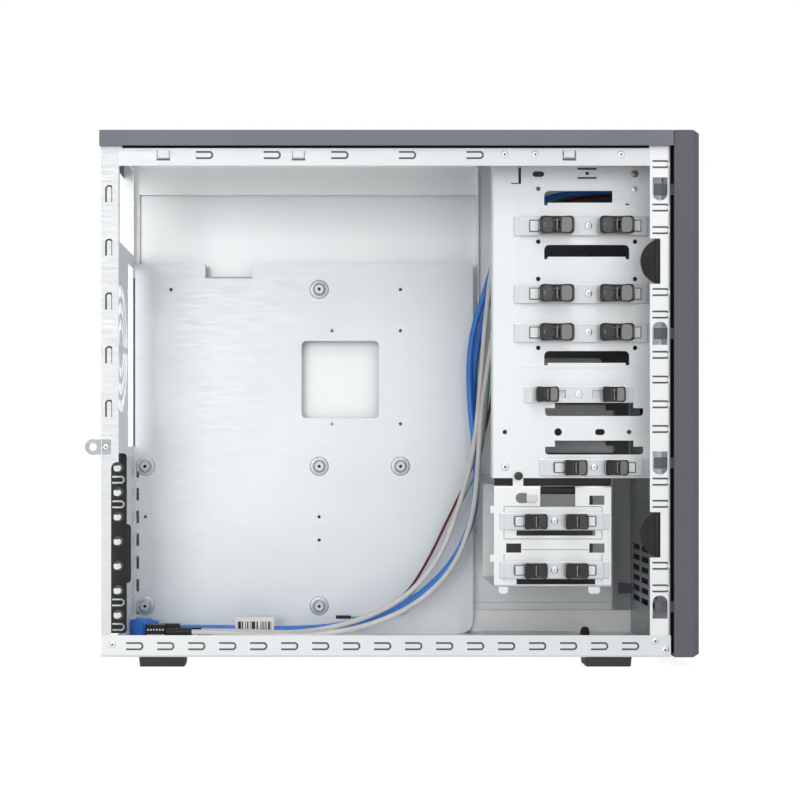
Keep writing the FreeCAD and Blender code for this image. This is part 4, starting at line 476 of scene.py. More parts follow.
class Pattern:
    """A Geometry Nodes tree in the making: one small shape, set on every point of a piece."""

    def __init__(self, name):
        self.tree = bpy.data.node_groups.new(name, "GeometryNodeTree")
        self.tree.interface.new_socket("Points", in_out="INPUT", socket_type="NodeSocketGeometry")
        self.tree.interface.new_socket("Geometry", in_out="OUTPUT", socket_type="NodeSocketGeometry")
        self.entry = self.tree.nodes.new("NodeGroupInput")

    def size(self, name):
        """A named input for one size of the shape."""
        self.tree.interface.new_socket(name, in_out="INPUT", socket_type="NodeSocketFloat")
        return self.entry.outputs[name]

    def node(self, kind, inputs, **settings):
        """A new node; each input is a plain value or another node's output."""
        made = self.tree.nodes.new(kind)
        for name, value in settings.items():
            setattr(made, name, value)
        for name, value in inputs.items():
            if isinstance(value, bpy.types.NodeSocket):
                self.tree.links.new(value, made.inputs[name])
            else:
                made.inputs[name].default_value = value
        return made

    def times(self, value, share):
        """A share of a size."""
        made = self.node("ShaderNodeMath", {0: value, 1: share}, operation="MULTIPLY")
        return made.outputs[0]

    def triple(self, x, y, z):
        """Three sizes as one vector."""
        return self.node("ShaderNodeCombineXYZ", {"X": x, "Y": y, "Z": z}).outputs["Vector"]

    def turned(self, radius, height, sides, steps):
        """A shape raised from a disc; a step is a share of the height and the share of the radius kept."""
        disc = self.node("GeometryNodeMeshCircle", {"Vertices": sides, "Radius": radius}, fill_type="NGON")
        foot = self.node("GeometryNodeFlipFaces", {"Mesh": disc.outputs["Mesh"]})
        shape = disc.outputs["Mesh"]
        top = True
        for rise, share in steps:
            raised = self.node("GeometryNodeExtrudeMesh", {
                "Mesh": shape, "Selection": top, "Offset Scale": self.times(height, rise),
                "Individual": False}, mode="FACES")
            top = raised.outputs["Top"]
            drawn_in = self.node("GeometryNodeScaleElements", {
                "Geometry": raised.outputs["Mesh"], "Selection": top, "Scale": share})
            shape = drawn_in.outputs["Geometry"]
        both = self.node("GeometryNodeJoinGeometry", {})
        self.tree.links.new(shape, both.inputs[0])
        self.tree.links.new(foot.outputs["Mesh"], both.inputs[0])
        closed = self.node("GeometryNodeMergeByDistance", {
            "Geometry": both.outputs["Geometry"], "Distance": MERGE_REACH})
        return closed.outputs["Geometry"], top

    def finish(self, shape, material, deep=None, deep_material=None, twist=0.0):
        """Sets the shape on the points, twisted by chance about its axis; its deepest face may differ."""
        smooth = self.node("GeometryNodeSetShadeSmooth", {"Geometry": shape, "Shade Smooth": True})
        angle = self.node("GeometryNodeInputMeshEdgeAngle", {})
        crease = self.node("FunctionNodeCompare", {
            "A": angle.outputs["Unsigned Angle"], "B": CREASE_ANGLE}, operation="GREATER_THAN")
        creased = self.node("GeometryNodeSetShadeSmooth", {
            "Geometry": smooth.outputs["Geometry"], "Selection": crease.outputs["Result"],
            "Shade Smooth": False}, domain="EDGE")
        turn = self.node("GeometryNodeInputNamedAttribute", {"Name": "turn"}, data_type="FLOAT_VECTOR")
        placed = self.node("GeometryNodeInstanceOnPoints", {
            "Points": self.entry.outputs["Points"], "Instance": creased.outputs["Geometry"],
            "Rotation": turn.outputs["Attribute"]})
        chance = self.node("FunctionNodeRandomValue", {3: twist, "Seed": TWIST_SEED}, data_type="FLOAT")
        about_axis = self.triple(0.0, 0.0, chance.outputs[1])
        twisted = self.node("GeometryNodeRotateInstances", {
            "Instances": placed.outputs["Instances"], "Rotation": about_axis, "Local Space": True})
        real = self.node("GeometryNodeRealizeInstances", {"Geometry": twisted.outputs["Instances"]})
        painted = self.node("GeometryNodeSetMaterial", {
            "Geometry": real.outputs["Geometry"], "Material": material})
        if deep is not None:
            painted = self.node("GeometryNodeSetMaterial", {
                "Geometry": painted.outputs["Geometry"], "Selection": deep, "Material": deep_material})
        leave = self.tree.nodes.new("NodeGroupOutput")
        self.tree.links.new(painted.outputs["Geometry"], leave.inputs["Geometry"])
        return self.tree


def set_on_points(name, tree, sizes, places, facing=OUT_OF_OPEN_SIDE):
    """Sets a pattern's shape on places in millimetres and turns the result into one plain mesh."""
    data = bpy.data.meshes.new(name)
    data.from_pydata([mm(*place) for place in places], [], [])
    turns = data.attributes.new("turn", "FLOAT_VECTOR", "POINT")
    for entry in turns.data:
        entry.vector = Vector(facing).to_track_quat("Z", "Y").to_euler()
    piece = bpy.data.objects.new(name, data)
    bpy.context.collection.objects.link(piece)
    pattern = piece.modifiers.new("pattern", "NODES")
    pattern.node_group = tree
    for socket in tree.interface.items_tree:
        if socket.name in sizes:
            pattern[socket.identifier] = sizes[socket.name] * MM
    evaluated = piece.evaluated_get(bpy.context.evaluated_depsgraph_get())
    made = bpy.data.meshes.new_from_object(evaluated)
    piece.modifiers.remove(pattern)
    piece.data = made
    bpy.data.meshes.remove(data)
    return place_piece(piece, None, "chassis")


# Routes of the front-panel cords

BLUE_ONE_ROUTE = [
    (0.2358, 0.044, 0.404), (0.19, 0.044, 0.404), (0.142, 0.044, 0.402), (0.104, 0.044, 0.376),
    (0.092, 0.044, 0.324), (0.074, 0.044, 0.272), (0.073, 0.044, 0.218), (0.08, 0.044, 0.165),
    (0.079, 0.044, 0.115), (0.058, 0.044, 0.07), (0.018, 0.044, 0.036), (-0.032, 0.044, 0.019),
    (-0.088, 0.044, 0.0155), (-0.145, 0.044, 0.017), (-0.198, 0.044, 0.017),
]
BLUE_TWO_ROUTE = [
    (0.2358, 0.051, 0.401), (0.188, 0.051, 0.401), (0.14, 0.051, 0.396), (0.106, 0.051, 0.368),
    (0.095, 0.051, 0.318), (0.08, 0.051, 0.266), (0.076, 0.051, 0.212), (0.081, 0.051, 0.16),
    (0.078, 0.051, 0.11), (0.055, 0.051, 0.066), (0.013, 0.051, 0.033), (-0.038, 0.051, 0.018),
    (-0.092, 0.0506, 0.0156), (-0.148, 0.051, 0.017), (-0.198, 0.051, 0.017),
]
GREY_ONE_ROUTE = [
    (0.2358, 0.036, 0.406), (0.186, 0.036, 0.406), (0.136, 0.036, 0.403), (0.1, 0.036, 0.383),
    (0.092, 0.036, 0.33), (0.086, 0.036, 0.278), (0.082, 0.036, 0.224), (0.077, 0.036, 0.172),
    (0.064, 0.036, 0.124), (0.048, 0.036, 0.08), (0.02, 0.036, 0.046), (-0.02, 0.036, 0.025),
    (-0.072, 0.0364, 0.0134), (-0.126, 0.036, 0.0158), (-0.179, 0.036, 0.0158),
]
GREY_TWO_ROUTE = [
    (0.2358, 0.028, 0.4), (0.186, 0.028, 0.4), (0.134, 0.028, 0.398), (0.103, 0.028, 0.37),
    (0.097, 0.028, 0.318), (0.092, 0.028, 0.266), (0.083, 0.028, 0.214), (0.08, 0.028, 0.164),
    (0.076, 0.028, 0.116), (0.06, 0.028, 0.072), (0.028, 0.028, 0.04), (-0.014, 0.028, 0.021),
    (-0.06, 0.028, 0.0128), (-0.106, 0.028, 0.0136), (-0.15, 0.028, 0.0158), (-0.191, 0.028, 0.0158),
]
RED_ROUTE = [
    (0.2358, 0.062, 0.398), (0.188, 0.062, 0.398), (0.14, 0.062, 0.388), (0.11, 0.062, 0.352),
    (0.102, 0.062, 0.3), (0.098, 0.062, 0.248), (0.092, 0.062, 0.198), (0.076, 0.062, 0.153),
    (0.057, 0.062, 0.114), (0.039, 0.062, 0.076), (0.019, 0.062, 0.044), (-0.01, 0.062, 0.028),
    (-0.056, 0.0615, 0.014), (-0.106, 0.062, 0.0107), (-0.152, 0.062, 0.0107),
]
GREEN_ROUTE = [
    (0.2358, 0.057, 0.402), (0.188, 0.057, 0.402), (0.138, 0.057, 0.393), (0.108, 0.057, 0.36),
    (0.099, 0.057, 0.31), (0.093, 0.057, 0.258), (0.09, 0.057, 0.208), (0.084, 0.057, 0.161),
    (0.064, 0.057, 0.12), (0.046, 0.057, 0.08), (0.026, 0.057, 0.046), (-0.004, 0.057, 0.0259),
    (-0.03, 0.057, 0.0259),
]
WIRE_SHARE = 0.26
WIRE_OFFSET_SHARE = 0.24
WIRE_SIDES = 7


def route_curve(name, route):
    """The smooth line of a cord along its route."""
    line = bpy.data.curves.new(name, "CURVE")
    line.dimensions = "3D"
    spline = line.splines.new("NURBS")
    spline.points.add(len(route) - 1)
    for point, place in zip(spline.points, route):
        point.co = (*place, 1)
    spline.order_u = 3
    spline.use_endpoint_u = True
    spline.resolution_u = 10
    return line


def sheathed_cord(name, node, route, diameter, material):
    """A round sheathed cord."""
    line = route_curve(name, route)
    line.bevel_depth = diameter / 2
    line.bevel_resolution = 4
    line.use_fill_caps = True
    piece = place_piece(bpy.data.objects.new(name, line), material, "chassis")
    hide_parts(node)


def line_points(route):
    """Points along the smooth line of a route."""
    line = route_curve("lead_line", route)
    holder = bpy.data.objects.new("lead_line", line)
    bpy.context.collection.objects.link(holder)
    traced = bpy.data.meshes.new_from_object(holder)
    points = [vertex.co.copy() for vertex in traced.vertices]
    bpy.data.meshes.remove(traced)
    bpy.data.objects.remove(holder)
    bpy.data.curves.remove(line)
    return points


def twin_lead(name, node, route, diameter, wires, slot):
    """Two thin wires that lie side by side along the route."""
    points = line_points(route)
    section = round_outline(0, 0, diameter * WIRE_SHARE, WIRE_SIDES)
    offset = diameter * WIRE_OFFSET_SHARE
    lead = Shape()
    for index, place in enumerate((offset, -offset)):
        lead.paint = index
        across = Vector((0, 1, 0))
        rings = []
        for number, point in enumerate(points):
            ahead = points[min(number + 1, len(points) - 1)]
            behind = points[max(number - 1, 0)]
            along = (ahead - behind).normalized()
            across = (across - along * across.dot(along)).normalized()
            upright = along.cross(across)
            middle = point + upright * place
            rings.append([(middle + across * u + upright * v) / MM for u, v in section])
        lead.loft(rings)
    piece = lead.piece(name, wires, "chassis", slot)
    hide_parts(node)


# Plugs and sleeves on the cords, and the cords themselves

PLUG_STATIONS = (
    (0, 0.82), (0.14, 0.82), (0.17, 1), (0.42, 1), (0.46, 0.94), (0.7, 0.94),
    (0.76, 0.8), (0.98, 0.72), (1, 0.66),
)
PLUG_SIDES = 32
PLUG_CORNER = 0.4
SLEEVE_PLACES = ((36, -179, -160), (28, -191, -168))
SLEEVE_LEVEL = 15.8
SLEEVE_RADIUS = 3.1
SLEEVE_SIDES = 20
SLEEVE_ROUNDING = 0.6
BLUE_DIAMETER = 0.0055
GREY_DIAMETER = 0.0045
LEAD_DIAMETER = 0.0024


def blue_plug_housing():
    """The moulded housing of the blue plug: stepped along its length, with round corners."""
    low, high = node_box("blue_plug")
    middle, half = (low + high) / 2, (high - low) / 2
    rings = []
    for along, share in PLUG_STATIONS:
        x = low.x + 2 * half.x * along
        rings.append([(x, middle.y + across * half.y * share, middle.z + up * half.z * share)
                      for across, up in squared_circle(PLUG_SIDES, PLUG_CORNER)])
    housing = Shape()
    housing.loft(rings)
    piece = housing.piece("blue_plug_housing", [blue_shell], "chassis", "blue_plastic")
    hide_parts("blue_plug")
    return piece


def cord_sleeve(y, plug_end, cord_end):
    """The black sleeve where a grey cord enters its header plug."""
    sleeve = Shape()
    sleeve.prism("X", plug_end, cord_end, round_outline(y, SLEEVE_LEVEL, SLEEVE_RADIUS, SLEEVE_SIDES))
    return sleeve.piece(f"grey_cord_sleeve_{y}", [satin_black], "chassis", "black_plastic", SLEEVE_ROUNDING)


blue_plug = blue_plug_housing()
sleeves = [cord_sleeve(*place) for place in SLEEVE_PLACES]
sheathed_cord("first_blue_cord", "blue_cord_one", BLUE_ONE_ROUTE, BLUE_DIAMETER, blue_sheath)
sheathed_cord("second_blue_cord", "blue_cord_two", BLUE_TWO_ROUTE, BLUE_DIAMETER, blue_sheath)
sheathed_cord("first_grey_cord", "grey_cord_one", GREY_ONE_ROUTE, GREY_DIAMETER, grey_sheath)
sheathed_cord("second_grey_cord", "grey_cord_two", GREY_TWO_ROUTE, GREY_DIAMETER, grey_sheath)
twin_lead("red_lead_pair", "red_lead", RED_ROUTE, LEAD_DIAMETER, [red_wire, black_wire_and_opening_shade],
          "red_plastic")
twin_lead("green_lead_pair", "green_lead", GREEN_ROUTE, LEAD_DIAMETER, [green_wire, white_wire],
          "green_plastic")


# Finishes and edges of the CAD nodes

NODE_FINISH = {
    "front_bezel": slate_plastic,
    "large_bay_covers": slate_plastic,
    "small_bay_covers": slate_plastic,
    "top_cover": slate_paint,
    "right_side_panel": panel_skin,
    "motherboard_tray": tray_zinc,
    "front_panel": front_zinc,
    "floor_pan": floor_zinc,
    "top_frame": frame_zinc,
    "rear_panel": rear_zinc,
    "drive_bay_far_wall": bay_zinc,
    "hdd_cage": cage_zinc,
    "padlock_loop": painted_shade_zinc,
    "card_retainer": satin_black,
    "lower_bezel_paddle": satin_black,
    "upper_bezel_paddle": satin_black,
    "header_plugs": satin_black,
    "lead_plugs": satin_black,
    "hdd_cage_latch": milk_plastic,
    "hdd_cage_screw": black_oxide_and_bore_shade,
    "feet": foot_rubber,
    "cable_tag": tag_paper,
    "power_button": gloss_black,
    "reset_button": gloss_black,
}
EDGE_ROUNDING = {
    "front_bezel": 0.7,
    "large_bay_covers": 0.4,
    "small_bay_covers": 0.4,
    "top_cover": 0.4,
    "feet": 1.2,
    "header_plugs": 0.4,
    "lead_plugs": 0.3,
    "hdd_cage_latch": 0.5,
    "lower_bezel_paddle": 0.5,
    "upper_bezel_paddle": 0.5,
    "power_button": 0.5,
    "reset_button": 0.4,
}
STRIP_ROUNDING = 0.5
for node, piece in cad_nodes.items():
    if node.endswith("_lock_strip"):
        finish, rounding = strip_zinc, STRIP_ROUNDING
    else:
        finish, rounding = NODE_FINISH.get(node, zinc), EDGE_ROUNDING.get(node)
    if piece.material_slots:
        for part in piece.material_slots:
            part.material = finish
    else:
        piece.data.materials.append(finish)
    if rounding is not None:
        soften(piece, rounding, weld=True)


# Drive lock buttons

LARGE_LOCK = 16
LOCK_SIDES = 48
LOCK_CORNER = 0.42
LOCK_WAIST = 0.2
LOCK_BEHIND = 3.6
LOCK_SHOULDERS = ((1, 1.6), (0.985, 0.6), (0.95, 0.12), (0.9, 0))
LOCK_BASIN = (0.86, 0.83, 0.76, 0.68, 0.6, 0.52, 0.44, 0.36, 0.28, 0.2, 0.12, 0.05)
LOCK_BASIN_DROP = 0.45
LOCK_HOLLOW = 0.09
HOLLOW_START = 0.08
HOLLOW_SPAN = 0.78
HOLLOW_SLOPE = 0.14
LARGE_NECK = 3.5
SMALL_NECK = 3
NECK_INSET = 1.6
LOCK_FOOT = 1.3
BAR_HALF = 0.4
BAR_REACH = 0.3
BAR_DEPTHS = (0.2, 1.5)
ARROW_PLACE = 0.405
ARROW_DEPTHS = (0.75, 2.4)
ARROW = ((0, 0), (-2.1, 1.7), (-2.8, 1.7), (-0.9, 0), (-2.8, -1.7), (-2.1, -1.7))
TONGUE_LENGTH = 6.4
TONGUE_REACH = 0.24
TONGUE_RISES = (0.7, 0.3)
TONGUE_SHADE_WIDTH = 0.8
TONGUE_SHADE_RISES = (0.3, 0.05)
NO_TONGUE = "small_bay_one"


def lock_outline(length, height, share):
    """A waisted outline with round corners, drawn in to a share of its size."""
    points = []
    for across, up in squared_circle(LOCK_SIDES, LOCK_CORNER):
        waist = 1 - LOCK_WAIST * (1 - across ** 2)
        points.append((across * length / 2 * share, up * height / 2 * waist * share))
    return points


def lock_hollow(across):
    """Depth of the finger hollows: none at the middle bar and none at the rim."""
    reach = min(max((abs(across) - HOLLOW_START) / HOLLOW_SPAN, 0), 1)
    return (1 - reach) * min(reach / HOLLOW_SLOPE, 1)


def lock_head(shape, middle, back, length, depth, height):
    """The head of a lock button: a raised rim and two finger hollows inside it."""
    rings = []
    for share, rise in [(1, 0)] + [(share, depth - drop) for share, drop in LOCK_SHOULDERS]:
        outline = lock_outline(length, height, share)
        rings.append([(middle.x + u, back - rise, middle.z + v) for u, v in outline])
    for share in LOCK_BASIN:
        ring = []
        for u, v in lock_outline(length, height, share):
            rise = depth - LOCK_BASIN_DROP - length * LOCK_HOLLOW * lock_hollow(2 * u / length)
            ring.append((middle.x + u, back - rise, middle.z + v))
        rings.append(ring)
    shape.loft(rings)


def lock_marks(shape, middle, front, length, height):
    """The bar between the finger hollows and, on a large lock, an arrow in each of them."""
    depths = [front + depth for depth in BAR_DEPTHS]
    shape.bar((middle.x - BAR_HALF, middle.x + BAR_HALF), depths, middle.z, height * BAR_REACH)
    if height > LARGE_LOCK:
        for side in (-1, 1):
            tip = middle.x + side * length * ARROW_PLACE
            outline = [(tip + side * u, middle.z + v) for u, v in ARROW]
            shape.prism("Y", front + ARROW_DEPTHS[0], front + ARROW_DEPTHS[1], outline)


def lock_button(node):
    """A glossy slide button with its neck, foot and marks, the steel tongue that it carries along, and a dark
    plate round the tongue that paints the shade of its slot.
    """
    low, high = node_box(node)
    middle = (low + high) / 2
    length, total, height = high - low
    head_back = high.y - LOCK_BEHIND
    shape = Shape()
    lock_head(shape, middle, head_back, length, total - LOCK_BEHIND, height)
    neck = LARGE_NECK if height > LARGE_LOCK else SMALL_NECK
    sides = (low.x + NECK_INSET, high.x - NECK_INSET)
    shape.bar(sides, (head_back, high.y), middle.z, neck)
    shape.bar(sides, (high.y - LOCK_FOOT, high.y), middle.z, neck + NECK_INSET)
    shape.paint = 1
    lock_marks(shape, middle, low.y, length, height)
    if not node.startswith(NO_TONGUE):
        start = low.x - TONGUE_LENGTH if node.endswith("_rear") else high.x
        end = start + TONGUE_LENGTH
        reach = height * TONGUE_REACH
        shape.paint = 2
        shape.bar((start, end), [head_back - rise for rise in TONGUE_RISES], middle.z, reach)
        # Painted shade: a dark plate round the tongue stands in for the shadowed slot.
        shape.paint = 3
        depths = [head_back - rise for rise in TONGUE_SHADE_RISES]
        shape.bar((start - TONGUE_SHADE_WIDTH, end + TONGUE_SHADE_WIDTH), depths, middle.z, reach + TONGUE_SHADE_WIDTH)
    piece = shape.piece(f"{node}_button", [gloss_black, mark_grey, zinc, shadow_steel], node, "black_gloss")
    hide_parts(node)


for node in cad_nodes:
    if node.endswith(("_lock_rear", "_lock_front")):
        lock_button(node)


# Patterns of the small shapes that repeat

RIVET_STEPS = ((0.45, 0.93), (0.35, 0.8), (0.2, 0.6), (0, 0.72), (-0.5, 0.9))
RIVET_SIDES = 20
SCREW_STEPS = ((0.5, 0.97), (0.32, 0.84), (0.18, 0.6))
SCREW_SIDES = 24
CROSS_LENGTH = 1.25
CROSS_WIDTH = 0.3
CROSS_LIFT = 0.95
COLLAR_STEPS = (
    (0.07, 0.97), (0.07, 0.93), (0.03, 0.94), (0, 0.8), (0.6, 0.74), (0.2, 0.9), (0, 0.55), (-0.6, 0.95),
)
COLLAR_SIDES = 32
FOOT_PLUG_STEPS = ((0.45, 0.96), (0.3, 0.84), (0.25, 0.6))
FOOT_PLUG_SIDES = 20


def rivet_pattern():
    """A blind rivet: a low dome with the mouth of its stem, whose floor is painted dark as its shade."""
    pattern = Pattern("blind_rivet")
    shape, mouth = pattern.turned(pattern.size("Radius"), pattern.size("Height"), RIVET_SIDES, RIVET_STEPS)
    return pattern.finish(shape, rivet_zinc, mouth, shadow_steel)


def cross_screw_pattern(name, material):
    """A pan-head screw with a cross cut into its crown."""
    pattern = Pattern(name)
    radius, height = pattern.size("Radius"), pattern.size("Height")
    head = pattern.turned(radius, height, SCREW_SIDES, SCREW_STEPS)[0]
    long, wide = pattern.times(radius, CROSS_LENGTH), pattern.times(radius, CROSS_WIDTH)
    lift = pattern.triple(0.0, 0.0, pattern.times(height, CROSS_LIFT))
    cut = pattern.node("GeometryNodeMeshBoolean", {"Mesh 1": head}, operation="DIFFERENCE")
    for across, along in ((long, wide), (wide, long)):
        blade = pattern.node("GeometryNodeMeshCube", {"Size": pattern.triple(across, along, height)})
        raised = pattern.node("GeometryNodeTransform", {
            "Geometry": blade.outputs["Mesh"], "Translation": lift})
        pattern.tree.links.new(raised.outputs["Geometry"], cut.inputs["Mesh 2"])
    return pattern.finish(cut.outputs["Mesh"], material, twist=math.radians(90))


def collar_pattern():
    """The rounded collar and cone of a pressed standoff; the floor of the bore at its tip is painted black as
    its shade.
    """
    pattern = Pattern("standoff_collar")
    shape, bore = pattern.turned(pattern.size("Radius"), pattern.size("Height"), COLLAR_SIDES, COLLAR_STEPS)
    return pattern.finish(shape, collar_zinc, bore, black_oxide_and_bore_shade)


def plate_pattern(name, material):
    """A small flat plate, such as the dark plate behind a spring slit that paints its shadow."""
    pattern = Pattern(name)
    size = pattern.triple(pattern.size("Length"), pattern.size("Height"), pattern.size("Thickness"))
    plate = pattern.node("GeometryNodeMeshCube", {"Size": size})
    return pattern.finish(plate.outputs["Mesh"], material)


def foot_plug_pattern():
    """The rounded plug that holds a foot from inside."""
    pattern = Pattern("foot_plug")
    radius, height = pattern.size("Radius"), pattern.size("Height")
    shape = pattern.turned(radius, height, FOOT_PLUG_SIDES, FOOT_PLUG_STEPS)[0]
    return pattern.finish(shape, foot_rubber)


# Rivets and screws

NEAR_FACE = -95
BAY_FACE = -55
EMBOSS_FACE = -55.8
TRAY_FACE = 78
RAIL_LEVEL = 411
FRAME_RIVETS = [(x, NEAR_FACE, RAIL_LEVEL) for x in (90.2, 114.9, 183.6)]
FRAME_RIVETS += [(x, NEAR_FACE, z) for x, z in ((211, 21), (219, 14), (-224, 18.5))]
LOOP_RIVET = (-229.5, -94, 176.6)
BAY_RIVET = (94.7, BAY_FACE, 159.9)
BAY_DIMPLE = (201.2, EMBOSS_FACE, 388.4)
BAY_SCREW = (201.2, EMBOSS_FACE, 400.8)
STRIP_SCREWS = [(162.6, -59.4, z) for z in (357.6, 302, 270.2)]
STRIP_SCREWS += [(154.8, -58.6, 219.5), (167.4, -58.6, 159.5), (134.8, -59.6, 115.5), (134.8, -59.6, 75.4)]
CAGE_SCREW_SEAT = 1
CAGE_SCREW = (105.9, node_box("hdd_cage_screw")[0].y + CAGE_SCREW_SEAT, 152.5)

rivets = rivet_pattern()
set_on_points("frame_rivets", rivets, {"Radius": 3, "Height": 0.9}, FRAME_RIVETS)
set_on_points("loop_rivet", rivets, {"Radius": 2.8, "Height": 0.9}, [LOOP_RIVET])
set_on_points("bay_wall_rivets", rivets, {"Radius": 3.4, "Height": 1}, [BAY_RIVET])
set_on_points("bay_wall_dimples", rivets, {"Radius": 2.3, "Height": 0.35}, [BAY_DIMPLE])
set_on_points("lock_strip_screws", cross_screw_pattern("strip_screw", rivet_zinc),
              {"Radius": 3, "Height": 1.1}, STRIP_SCREWS)
set_on_points("bay_wall_screw", cross_screw_pattern("bay_screw", copper_steel),
              {"Radius": 3.1, "Height": 1.6}, [BAY_SCREW])
set_on_points("cage_tab_screw", cross_screw_pattern("cage_screw", black_oxide_and_bore_shade),
              {"Radius": 3.3, "Height": 1.2}, [CAGE_SCREW])


# Standoff collars, and dark plates behind the spring slits that paint their shadow

STANDOFFS = [(-57.6, TRAY_FACE, 315.74)]
STANDOFFS += [(x, TRAY_FACE, z) for x in (-212.54, -57.6, 14.79) for z in (158.26, 33.8)]
SLIT_SHADOW_FACE = -93.75
SLIT_SHADOW_THICKNESS = 0.4
SLIT_WIDTH = 8.2
SLIT_MIDDLE = 6.9
FLOOR_SLIT_FIRST, FLOOR_SLIT_PITCH, FLOOR_SLITS = -212.9, 24.83, 17
FLOOR_SLIT_LEVEL = 17
RAIL_SLIT_FIRST, RAIL_SLIT_PITCH, RAIL_SLITS = -157, 54.2, 5
RAIL_SLIT_LEVEL = 410.5
FRONT_SLIT_X = 215
FRONT_SLIT_LEVELS = [63.3, 81.4, 131, 148.8, 282.7, 300.7, 350.3, 368.4, 403.2, 250.4, 230.6, 210.8, 191]
REAR_SLIT_X = -227.4
REAR_SLIT_TOP, REAR_SLIT_PITCH, REAR_SLITS = 379.6, 43, 5

set_on_points("standoff_collars", collar_pattern(), {"Radius": 8.6, "Height": 5.7}, STANDOFFS)
slit_shadows = plate_pattern("slit_shadow_plate", shadow_steel)
slit_shadow_places = [(FLOOR_SLIT_FIRST + FLOOR_SLIT_PITCH * index + SLIT_MIDDLE, SLIT_SHADOW_FACE, FLOOR_SLIT_LEVEL)
                 for index in range(FLOOR_SLITS)]
slit_shadow_places += [(RAIL_SLIT_FIRST + RAIL_SLIT_PITCH * index + SLIT_MIDDLE, SLIT_SHADOW_FACE, RAIL_SLIT_LEVEL)
                  for index in range(RAIL_SLITS)]
set_on_points("rail_slit_shadows", slit_shadows,
              {"Length": 15.4, "Height": SLIT_WIDTH, "Thickness": SLIT_SHADOW_THICKNESS},
              slit_shadow_places)
set_on_points("front_slit_shadows", slit_shadows,
              {"Length": 14.6, "Height": SLIT_WIDTH, "Thickness": SLIT_SHADOW_THICKNESS},
              [(FRONT_SLIT_X, SLIT_SHADOW_FACE, z) for z in FRONT_SLIT_LEVELS])
set_on_points("rear_slit_shadows", slit_shadows,
              {"Length": 6.2, "Height": 15.4, "Thickness": SLIT_SHADOW_THICKNESS},
              [(REAR_SLIT_X, SLIT_SHADOW_FACE, REAR_SLIT_TOP - REAR_SLIT_PITCH * index)
               for index in range(REAR_SLITS)])


# Hook windows of the top rail, plug details and foot plugs

HOOK_WINDOWS = (-183.1, -74.9, 142.2)
HOOK_TONGUE_FACE, HOOK_TONGUE_LEVEL = -94.3, 411.4
HOOK_SHADOW_FACE, HOOK_SHADOW_LEVEL = -94.4, 407
HEADER_PLUG_PLACES = ((-196, 32.5), (-208, 24.5))
CONTACT_START = 2.4
CONTACT_PITCH = 2.54
CONTACT_COLUMNS = 6
CONTACT_ROWS = (13.4, 18)
PLUG_RIBS = [(-217 + 1.6 * index, 39.5, 17.8) for index in range(4)]
FOOT_PLUGS = [(x, y, 9) for x in (-174, 178) for y in (-70, 70)]

set_on_points("hook_window_tongues", plate_pattern("hook_tongue", frame_zinc),
              {"Length": 8.4, "Height": 5.6, "Thickness": 0.5},
              [(x, HOOK_TONGUE_FACE, HOOK_TONGUE_LEVEL) for x in HOOK_WINDOWS])
# Painted shadow: a dark bar along the foot of each hook window.
set_on_points("hook_window_shadows", slit_shadows, {"Length": 10.8, "Height": 1.3, "Thickness": 0.6},
              [(x, HOOK_SHADOW_FACE, HOOK_SHADOW_LEVEL) for x in HOOK_WINDOWS])
set_on_points("header_contacts", plate_pattern("header_contact", rivet_zinc),
              {"Length": 1.3, "Height": 1.3, "Thickness": 0.3},
              [(left + CONTACT_START + CONTACT_PITCH * column, face, row) for left, face in HEADER_PLUG_PLACES
               for column in range(CONTACT_COLUMNS) for row in CONTACT_ROWS])
set_on_points("blue_plug_ribs", plate_pattern("plug_rib", blue_shell),
              {"Length": 1.1, "Height": 12, "Thickness": 0.8}, PLUG_RIBS)
set_on_points("foot_plugs", foot_plug_pattern(), {"Radius": 4.2, "Height": 7}, FOOT_PLUGS,
              UPWARD)


# Dust filter behind the bezel's intake, a dark strip behind the bezel's edge, and a painted shadow under the
# lid's lip

INTAKE_FILTER = ((242.5, -77, 26), (243.2, 77, 156))
BEZEL_EDGE_STRIP = ((223.5, -88.6, 14), (227.5, -87.6, 424))
LID_LIP_SHADOW = ((-216, NEAR_FACE - 0.25, 416), (206, NEAR_FACE, 418.2))


def block_piece(name, blocks, material, slot, edge=None):
    """A chassis piece of plain blocks in one finish."""
    shape = Shape()
    for low, high in blocks:
        shape.block(low, high)
    shape.piece(name, [material], "chassis", slot, edge)


block_piece("intake_filter", [INTAKE_FILTER], foam_and_shadow_black, "black_plastic")
block_piece("edge_dark_strips", [BEZEL_EDGE_STRIP, LID_LIP_SHADOW], foam_and_shadow_black, "black_plastic")


# Dark inlays that paint the shade in the lanced openings of the drive bay wall, and small plates of the wall

MARK_RISE = 0.1
OVAL_OPENING_SHADE = (
    (119.2, 398.2), (124.6, 398.2), (126.6, 399.4), (126.6, 401.6), (124.6, 402.8), (119.2, 402.8),
    (117.2, 401.6), (117.2, 399.4),
)
BRIDGE_LEFT, BRIDGE_RIGHT = 154, 169.6
BRIDGE_FACE = EMBOSS_FACE - 1.6
BRIDGE_MIDDLE = 400.85
BRIDGE_EDGE = 3.7
BRIDGE_GAP_HALF = 0.7
BRIDGE_HOLE_RADIUS = 1.5
BAY_TAB = ((99.4, -55.5, 393.4), (105.6, -54.5, 407))
WINDOW_PLATE = ((183, -54, 376.5), (199, -53.4, 388))

